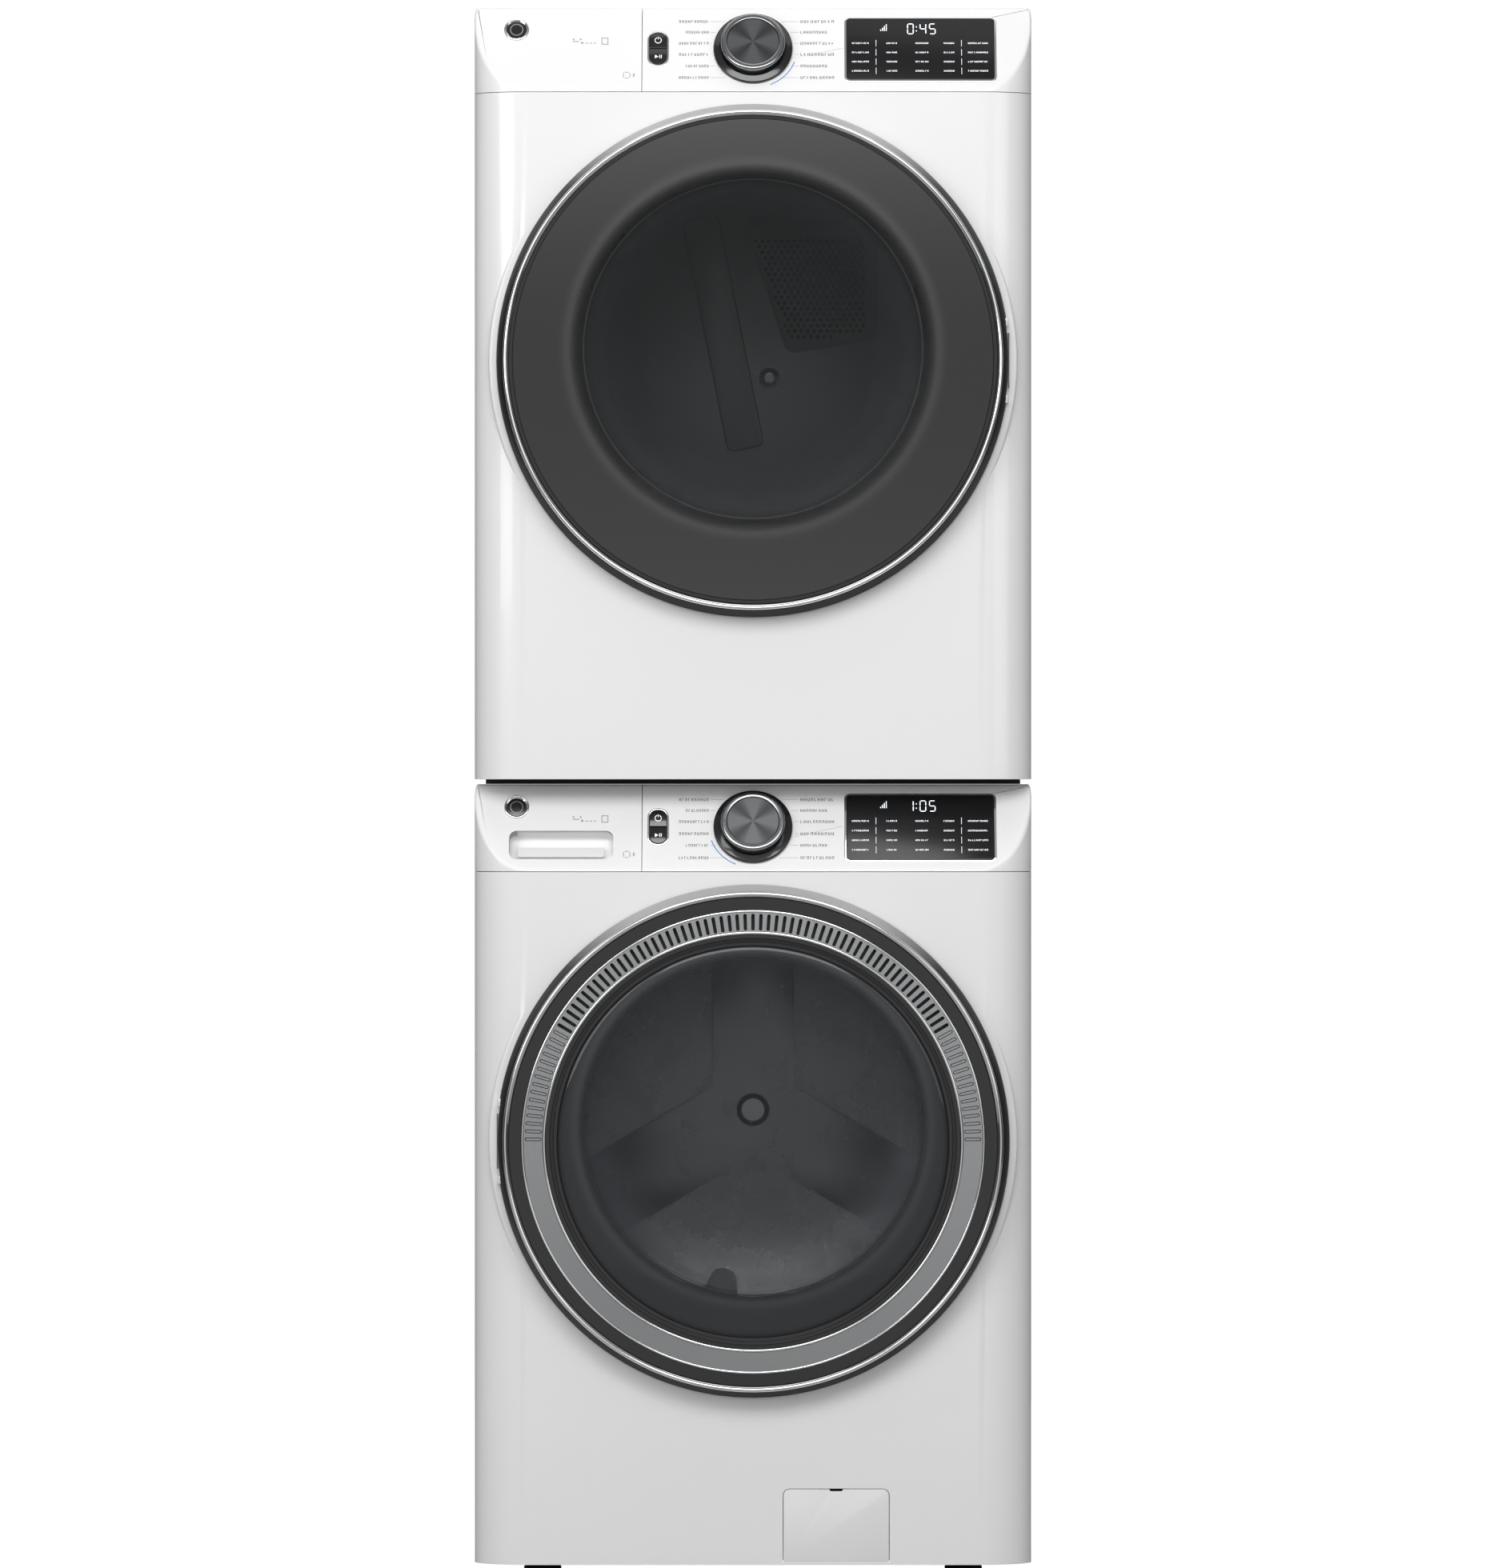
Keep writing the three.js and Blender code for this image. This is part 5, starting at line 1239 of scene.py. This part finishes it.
def ventRing(machine):
    s = ventSizes
    body, z = "washer_door", machine["doorZ"]
    halfTurn = [math.pi * i / 8 for i in range(9)]
    glass = [(309.7, -33), (309.7, -36.2), (309.3, -36.6), (294.8, -36.9), (294.6, -36.5), (294.6, -33)]
    spunPiece(glass, 192, z, "washerGlassRing", "blackPlastic", body, "dark_glass")
    outerLine = [(291.3, -31), (294.5, -31)] + [(292.9 + 1.6 * math.cos(t),
                                                 -36.2 - 1.3 * math.sin(t)) for t in halfTurn]
    spunPiece(outerLine, 192, z, "washerVentOuterLine", "chrome", body, "chrome_trim")
    band = turned([(291.2, -28.0), (291.2, -35.9), (267.3, -32.4), (267.3, -28.0)], 360)
    middle, half = (s["slotInner"] + s["slotOuter"]) / 2, (s["slotOuter"] - s["slotInner"]) / 2
    slot = roundBlock((-s["slotWidth"] / 2, -40, middle - half),
                      (s["slotWidth"] / 2, -25, middle + half),
                      s["slotWidth"] / 2 - 0.1, "Y", 5)
    pip = roundBlock((-s["pipWidth"] / 2, -0.4, 0.8 - half), (s["pipWidth"] / 2, 5.5, half - 0.8),
                     s["pipWidth"] / 2 - 0.1, "Y", 4)
    pip.rotation_euler = (math.radians(8.3), 0, 0)  # lies along the band's slope
    settle(pip)
    pip.location = (0, -34.1 * mm, middle * mm)
    settle(pip)
    cutters, pips = [], []
    for index in range(s["count"]):
        fromTop = index - (s["count"] - 1) / 2
        cutter = copyOf(slot)
        cutter.rotation_euler = (0, math.radians(fromTop * s["pitch"]), 0)
        cutters.append(settle(cutter))
        if abs(fromTop) > (s["open"] - 1) / 2:  # the outermost slots are blind
            plug = copyOf(pip)
            plug.rotation_euler = (0, math.radians(fromTop * s["pitch"]), 0)
            pips.append(settle(plug))
    for spare in (slot, pip):
        bpy.data.objects.remove(spare, do_unlink=True)
    cutAway(band, gather(cutters))
    placed(band, 0, z)
    # the vent metal's colour carries a painted shade darkening its foot, and a faint painted highlight
    ventMetal = spunFinish("ventRingMetal", (0.62, 0.63, 0.64), 0.30, (0, faceY, z), 0.0, 1200.0,
                           0.00002, 0.1, 0.7)
    hand(band, "washerVentBand", ventMetal, body, "vent_silver", "washer_door_vent_ring", angle=40)
    hand(placed(gather(pips), 0, z), "washerVentPips", ventMetal, body, "vent_silver")
    ventFloor = [(267, -24), (292, -24), (292, -21), (267, -21)]
    spunPiece(ventFloor, 128, z, "washerVentFloor", "mattBlack", body, "black_plastic")
    innerLine = [(263.6, -28), (267.2, -28)] + [(265.4 + 1.8 * math.cos(t),
                                                 -31.8 - 1.3 * math.sin(t)) for t in halfTurn]
    spunPiece(innerLine, 192, z, "washerVentInnerLine", "chrome", body, "chrome_trim")
    collar = [(263.5, -24), (263.5, -31.2), (258.6, -31.4), (257.8, -30.4), (254.2, -29.6),
              (253.4, -28.6),
              (249.4, -28.2), (249.1, -27.6), (249.1, -20)]
    spunPiece(collar, 192, z, "washerWindowCollar", "blackPlastic", body, "black_plastic")


def washerWindow(machine):
    edge = 248.9
    profile = [(0, -28.2), (edge * 0.6, -27.6), (edge - 8, -26.2), (edge - 1, -24.8), (edge, -24),
               (edge, -20), (0, -20)]
    spunPiece(profile, 192, machine["doorZ"], "washerWindow", "washerGlass", "washer_door",
              "dark_glass",
              "washer_door_window", angle=50)


drumSizes = {
    "washer": {"radius": 275, "front": 125, "length": 415, "mouth": 235},
    "dryer": {"radius": 285, "front": 130, "length": 470, "mouth": 282},
}


baffleSizes = {"halfWidth": 32, "height": 62, "frontGap": 12, "backGap": 14, "count": 3, "turn": 10}


def baffleRow(name, machine):
    # tapering lifters, modelled once and turned round the drum
    s, b = drumSizes[name], baffleSizes
    first = roundBlock((-b["halfWidth"], s["front"] + b["frontGap"], -s["radius"] + 1),
                       (b["halfWidth"], s["front"] + s["length"] - b["backGap"],
                        -s["radius"] + b["height"]))
    inEditMode(first)
    chooseFaces(lambda at, normal: normal.z > 0.9)
    bpy.ops.transform.resize(value=(0.42, 0.86, 1))
    leaveEditMode()
    softenEdges(first, 9, 5)
    rows = []
    for index in range(b["count"]):
        baffle = copyOf(first)
        baffle.rotation_euler = (0, math.tau * index / b["count"] + math.radians(b["turn"]), 0)
        rows.append(settle(baffle))
    bpy.data.objects.remove(first, do_unlink=True)
    return placed(gather(rows), 0, machine["drumZ"])


def drum(name, machine):
    s = drumSizes[name]
    front, back, radius, mouth = s["front"], s["front"] + s["length"], s["radius"], s["mouth"]
    steel = punchedSteel(name + "DrumSteel", machine["drumZ"])
    if name == "washer":
        profile = [(15, back + 100), (15, back), (radius - 6, back), (radius, back - 6),
                   (radius, front + 8), (radius - 8, front),
                   (mouth, front), (mouth - 2, front + 2), (mouth, front + 4), (radius - 9, front + 4),
                   (radius - 4, front + 10),
                   (radius - 4, back - 8), (radius - 9, back - 4), (60, back - 4), (0, back - 4),
                   (0, back + 100)]
        shell = turned(profile, 128, closed=False)
    else:
        profile = [(radius, front), (radius, back), (radius - 3, back), (radius - 3, front)]
        shell = turned(profile, 128)
    placed(shell, 0, machine["drumZ"])
    body = name + "_drum_body"
    hand(shell, name + "DrumShell", steel, body, "stainless", name + "_drum", angle=50)
    hand(baffleRow(name, machine), name + "DrumLifters",
         finishes["paleGrey"] if name == "washer" else finishes["stainless"],
         body, "stainless", angle=50)


starSizes = {"halfArm": 54, "reach": 250, "raised": 8, "corner": 26}


def drumStar(machine):
    # pressed three-arm star and hub on the washer drum's back
    s, arms = drumSizes["washer"], []
    back = s["front"] + s["length"] - 4
    arm = roundBlock((-starSizes["halfArm"], back - starSizes["raised"], 0),
                     (starSizes["halfArm"], back + 1, starSizes["reach"]))
    inEditMode(arm)
    chooseEdges(lambda a, b: abs(a.y - b.y) > 0.005)
    bpy.ops.mesh.bevel(offset=starSizes["corner"] * mm, segments=8, affect="EDGES")
    leaveEditMode()
    for index in range(3):
        twin = copyOf(arm)
        twin.rotation_euler = (0, math.tau * index / 3, 0)
        arms.append(settle(twin))
    bpy.data.objects.remove(arm, do_unlink=True)
    star = fuse(arms[0], *arms[1:])
    softenEdges(star, 3, 3)
    placed(star, 0, machine["drumZ"])
    hand(star, "washerDrumStar", finishes["stainless"], "washer_drum_body", "stainless")
    hub = [(0, back - 16)] + arc(14, back - 8, 8, -90, 0, 6) + [(24, back - 6), (30, back + 1),
            (0, back + 1)]
    spunPiece(hub, 64, machine["drumZ"], "washerDrumHub", "chrome", "washer_drum_body", "stainless")


def gasket(machine):
    # folded rubber bellows between the opening and the tub
    profile = [(228, 27), (244, 27.4), (247, 32), (252, 38), (254, 44), (250, 52), (243, 60),
               (243, 66), (250, 76), (253, 84),
               (248, 91), (246, 94.4), (228, 94.4), (228, 90.6), (243, 90.4), (247, 84), (244, 76),
               (237, 66), (237, 60),
               (244, 52), (248, 44), (246, 39), (243, 34), (240, 31.6), (228, 31)]
    ring = turned(profile, 144)
    placed(ring, 0, machine["drumZ"])
    hand(ring, "washerBellows", finishes["rubber"], "root", "grey_rubber", "washer_gasket", angle=60)
    ring.parent = None
    if "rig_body" in ring:
        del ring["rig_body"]
    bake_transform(ring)


def tubSprings():
    # the springs between the cabinet and the tub, copied from the CAD parts as they stand
    for side in ("left", "right"):
        name = "tub_spring_" + side
        spring = bpy.data.objects.new(name.replace("tub_", "") + "Coil",
                                      frame["nodes"][name].data.copy())
        bpy.context.collection.objects.link(spring)
        turnFaces(settle(spring))
        spring.data.materials.clear()
        spring.data.materials.append(finishes["springSteel"])
        bpy.ops.object.shade_smooth_by_angle(angle=math.radians(40))
        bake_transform(spring)
        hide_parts(name)


rearRibSizes = {"halfWidth": 25, "halfLength": 158, "corner": 10, "lean": -11.3, "x": -40, "up": 50}
airPanelSizes = {"left": -14, "right": 165, "foot": 22, "top": 205, "corner": 14, "pitch": 8.7,
                 "holeRadius": 3.0, "rows": 19}


def dryerInterior(machine):
    z = machine["drumZ"]
    s = drumSizes["dryer"]
    back = s["front"] + s["length"]
    # felt round the mouth of the front bulkhead
    felt = [(233.4, 98.6), (236, 97.4), (243, 97.4), (243, 97.9), (237.6, 97.9), (236.4, 99),
            (236.4, 121), (233.4, 121)]
    spunPiece(felt, 144, z, "dryerMouthFelt", "rubber", "root", "grey_rubber")
    # rear wall: dished plate with a pressed outline, a punched air panel and a centre bolt
    wall = [(0, back - 14), (264, back - 14), (272, back - 12), (276, back - 6), (279, back + 1),
            (297, back + 1),
                   (297, back + 4), (276, back + 4), (268, back - 9), (260, back - 11), (0, back - 11)]
    spunPiece(wall, 128, z, "dryerRearWall", "galvanised", "root", "galvanised", "dryer_rear_bulkhead",
              angle=40)
    bolt = turned([(0, back - 24)] + arc(6, back - 20, 4, -90, 0, 5) + [(14, back - 18),
            (14, back - 13), (0, back - 13)], 48)
    bolt.location.x = 22 * mm
    settle(bolt)
    placed(bolt, 0, z - 10 * mm)
    hand(bolt, "dryerRearBolt", finishes["chrome"], "root", "galvanised")
    r = rearRibSizes
    rib = roundBlock((-r["halfWidth"], back - 19, -r["halfLength"]),
                     (r["halfWidth"], back - 13, r["halfLength"]),
                     r["corner"], "Y", 6)
    rib.rotation_euler = (0, math.radians(r["lean"]), 0)
    settle(rib)
    softenEdges(rib, 2, 3)
    placed(rib, r["x"], z + r["up"] * mm)
    hand(rib, "dryerRearRib", finishes["galvanised"], "root", "galvanised")
    # air panel: raised plate, upper right, narrowing to the left
    a = airPanelSizes
    plate = roundBlock((a["left"], back - 18, a["foot"]), (a["right"], back - 13, a["top"]))
    inEditMode(plate)
    choosePoints(lambda at: at.x > 0.1 and at.z < 0.1)
    bpy.ops.transform.translate(value=(0, 0, 0.02))
    choosePoints(lambda at: at.x < 0.1 and at.z < 0.1)
    bpy.ops.transform.translate(value=(0.06, 0, 0))
    chooseEdges(lambda a, b: abs(a.y - b.y) > 0.003)
    bpy.ops.mesh.bevel(offset=a["corner"] * mm, segments=6, affect="EDGES")
    leaveEditMode()
    softenEdges(plate, 1.5, 3)
    placed(plate, 0, z)
    hand(plate, "dryerAirPanel", finishes["paleGrey"], "root", "galvanised")
    pitch = a["pitch"]
    # the panel's holes are flat matt black discs on its face: painted shade where the holes would show
    # the dark behind
    deselectAll()
    bpy.ops.mesh.primitive_cylinder_add(vertices=10, radius=a["holeRadius"] * mm, depth=0.3 * mm,
                                        rotation=(math.pi / 2, 0, 0))
    holeShadeDisc = settle(bpy.context.object)
    holeShadeDiscs = []
    for row in range(a["rows"]):
        for column in range(a["rows"]):
            x = 4 + column * pitch + (row % 2) * pitch / 2
            up = 38 + row * pitch * 0.866
            if x < 150 and x > -6 + (196 - up) * 0.36 and up > 40 + max(0.0, x - 60) * 0.12:
                hole = copyOf(holeShadeDisc)
                hole.location = (x * mm, (back - 18.1) * mm, up * mm)
                holeShadeDiscs.append(settle(hole))
    bpy.data.objects.remove(holeShadeDisc, do_unlink=True)
    holes = placed(gather(holeShadeDiscs), 0, z)
    hand(holes, "dryerAirHoleShades", finishes["mattBlack"], "root", "galvanised")


def foot(name):
    low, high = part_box(name)
    x, y = (low.x + high.x) / 2, (low.y + high.y) / 2
    height = (high.z - low.z) / mm
    pad = turned([(0, 0), (22, 0), (24, -1.5), (24, -6), (21, -8), (9, -8.5), (9, -11), (7, -11),
                  (7, -height), (0, -height)], 64)
    pad.rotation_euler = (-math.pi / 2, 0, 0)
    settle(pad)
    pad.location = (x, y, 0)
    settle(pad)
    low2 = min(point.co.z for point in pad.data.vertices)
    pad.location.z = -low2
    settle(pad)
    hand(pad, name.replace("washer_", "") + "Pad", finishes["blackRubber"],
         name.replace("washer_", ""), "black_rubber", name)


def screwRow(name, spots, depth):
    # washer-headed screws on the back; one modelled, the rest copied
    washer = turned([(0, 0), (0, 1.2), (5.2, 1.0), (5.8, 0)], 24)
    deselectAll()
    bpy.ops.mesh.primitive_cylinder_add(vertices=6, radius=4 * mm, depth=3.2 * mm,
                                        rotation=(math.pi / 2, 0, 0))
    head = settle(bpy.context.object)
    head.location.y = 1.6 * mm
    softenEdges(settle(head), 0.4, 2)
    first = gather([washer, head])
    screws = []
    for x, z in spots:
        screw = copyOf(first)
        screw.location = (x * mm, depth, z * mm)
        screws.append(settle(screw))
    bpy.data.objects.remove(first, do_unlink=True)
    hand(gather(screws), name, finishes["chrome"], "root", "galvanised")


louvreSizes = {"halfLength": 40, "halfHeight": 3, "proud": 3.2, "columns": (-190, -90, 10), "rows": 9,
               "pitch": 16,
               "fromTop": 90}


def louvres(machine):
    # pressed vent slots high on the dryer's back, as raised hoods
    s = louvreSizes
    first = roundBlock((-s["halfLength"], 0, -s["halfHeight"]),
                       (s["halfLength"], s["proud"], s["halfHeight"]), 2.9, "Y", 5)
    softenEdges(first, 0.8, 3)
    hoods = []
    back = (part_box("dryer_cabinet")[1].y)
    for column in s["columns"]:
        for row in range(s["rows"]):
            hood = copyOf(first)
            hood.location = (column * mm, back, machine["top"] - (s["fromTop"] + row * s["pitch"]) * mm)
            hoods.append(settle(hood))
    bpy.data.objects.remove(first, do_unlink=True)
    hand(gather(hoods), "dryerBackLouvres", finishes["enamel"], "root", "white_enamel")


print("modelling the cabinets")
for machineName, machine in machines.items():
    frontPanel(machineName, machine)
    fascia(machineName, machine)
    topPanel(machineName, machine)
serviceFlap()
print("modelling the controls")
labelRows = {"washer": (100.6, 85.4, 69.7, 52.8, 36.5, 19.1),
             "dryer": (102.3, 86.6, 70.3, 54.0, 37.1, 20.2)}
shownTimes = {"washer": (1, 0, 5), "dryer": (0, 4, 5)}
for machineName, machine in machines.items():
    knob(machineName, machine)
    buttons(machineName, machine)
    display(machineName, machine, shownTimes[machineName])
    labels(machineName, machine, labelRows[machineName], 1 if machineName == "dryer" else -1)
    leftBody = "root" if machineName == "dryer" else "washer_drawer"
    badge(machineName, machine, leftBody)
    sideIcons(machineName, machine, leftBody)
print("modelling the doors")
for machineName, machine in machines.items():
    doorFrame(machineName, machine)
    trimRing(machineName, machine)
doorBowl("washer", machines["washer"], 98)
doorBowl("dryer", machines["dryer"], 88)
dryerGlass(machines["dryer"])
ventRing(machines["washer"])
washerWindow(machines["washer"])
print("modelling behind the doors")
for machineName, machine in machines.items():
    drum(machineName, machine)
drumStar(machines["washer"])
gasket(machines["washer"])
tubSprings()
dryerInterior(machines["dryer"])
print("modelling feet and back")
for corner in ("front_left", "front_right", "rear_left", "rear_right"):
    foot("washer_foot_" + corner)
louvres(machines["dryer"])
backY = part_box("dryer_cabinet")[1].y
screwHeights = (60, 300, 560, 860, 1060, 1330, 1600, 1930)
screwRow("cabinetBackScrews", [(side * 335, z) for side in (-1, 1) for z in screwHeights], backY)


floorSizes = {"wide": 9, "deep": 5.2, "back": 0.2}  # metres


def room():
    deselectAll()
    bpy.ops.mesh.primitive_plane_add(size=1, location=(0, floorSizes["back"], 0))
    floor = bpy.context.object
    floor.name = "studioFloor"
    floor.scale = (floorSizes["wide"], floorSizes["deep"], 1)
    settle(floor)
    material, tree, shader, vector = newMaterial("paleFloor")
    surface = addGroup(tree, surfaceGrain, vector, Grain_Scale=120.0, Cloud_Scale=0.7)
    tree.links.new(tinted(tree, surface["Cloud"], (0.36, 0.36, 0.36), (0.39, 0.39, 0.39)),
                   shader.inputs["Base Color"])
    shader.inputs["Roughness"].default_value = 0.7
    shader.inputs["Emission Color"].default_value = (1, 1, 1, 1)
    path = node(tree, "ShaderNodeLightPath")
    tree.links.new(math2(tree, "MULTIPLY", path.outputs["Is Camera Ray"], 1.0),
                   shader.inputs["Emission Strength"])
    floor.data.materials.append(material)


def light(name, place, aim, wide, power, tall):
    data = bpy.data.lights.new(name, "AREA")
    data.shape = "RECTANGLE"
    data.size = wide
    data.size_y = tall
    data.energy = power
    lamp = bpy.data.objects.new(name, data)
    lamp.location = place
    lamp.rotation_euler = (Vector(aim) - Vector(place)).to_track_quat("-Z", "Y").to_euler()
    bpy.context.collection.objects.link(lamp)


def sky():
    # white backdrop for the eye; for the light, bright above and in front and dim at the sides
    world = bpy.data.worlds.new("studioWorld")
    bpy.context.scene.world = world
    world.use_nodes = True
    tree = world.node_tree
    tree.nodes.clear()
    output = node(tree, "ShaderNodeOutputWorld")
    lit, seen = node(tree, "ShaderNodeBackground"), node(tree, "ShaderNodeBackground")
    seen.inputs["Color"].default_value = (1, 1, 1, 1)
    direction = node(tree, "ShaderNodeTexCoord")
    parts = node(tree, "ShaderNodeSeparateXYZ")
    tree.links.new(direction.outputs["Generated"], parts.inputs[0])
    above = math2(tree, "MAXIMUM", parts.outputs["Z"], 0.0)
    ahead = math2(tree, "MAXIMUM", math2(tree, "MULTIPLY", parts.outputs["Y"], -1.0), 0.0)
    behind = math2(tree, "POWER", math2(tree, "MAXIMUM", parts.outputs["Y"], 0.0), 2.0)
    above = math2(tree, "MULTIPLY_ADD", behind, 0.9, above)
    level = math2(tree, "ADD", math2(tree, "MULTIPLY_ADD", above, 0.35, 0.04),
                  math2(tree, "MULTIPLY", math2(tree, "POWER", ahead, 4.0), 0.75))
    tree.links.new(level, lit.inputs["Strength"])
    path = node(tree, "ShaderNodeLightPath")
    mix = node(tree, "ShaderNodeMixShader")
    tree.links.new(path.outputs["Is Camera Ray"], mix.inputs["Fac"])
    tree.links.new(lit.outputs[0], mix.inputs[1])
    tree.links.new(seen.outputs[0], mix.inputs[2])
    tree.links.new(mix.outputs[0], output.inputs["Surface"])


cameraSizes = {"lens": 200, "sensor": 36, "distance": 11.09,
               "height": 1.0103}  # millimetres, then metres


def camera():
    data = bpy.data.cameras.new("studioCamera")
    data.lens = cameraSizes["lens"]
    data.sensor_width = cameraSizes["sensor"]
    data.clip_end = 60
    view = bpy.data.objects.new("studioCamera", data)
    view.location = (0, faceY - cameraSizes["distance"], cameraSizes["height"])
    view.rotation_euler = (math.pi / 2, 0, 0)
    bpy.context.collection.objects.link(view)
    bpy.context.scene.camera = view


bpy.context.scene.view_settings.view_transform = "Standard"
room()
sky()
# name, place, aim, width, power, height
lamps = [
    ("topLight", (0, -0.7, 4.7), (0, -0.2, 1.2), 3.4, 20, 2.2),
    ("backTopLight", (0, 3.4, 4.3), (0, -0.3, 1.5), 4.4, 45, 1.6),
    ("frontTopLight", (0, -3.9, 3.4), (0, -0.35, 1.5), 3.0, 82, 1.6),
    ("leftSoftbox", (-3.0, -4.3, 2.6), (0, -0.35, 1.3), 2.0, 62, 2.6),
    ("rightSoftbox", (3.3, -4.3, 2.3), (0, -0.35, 1.3), 2.0, 24, 2.6),
]
for lamp in lamps:
    light(*lamp)
camera()
print("scene ready")
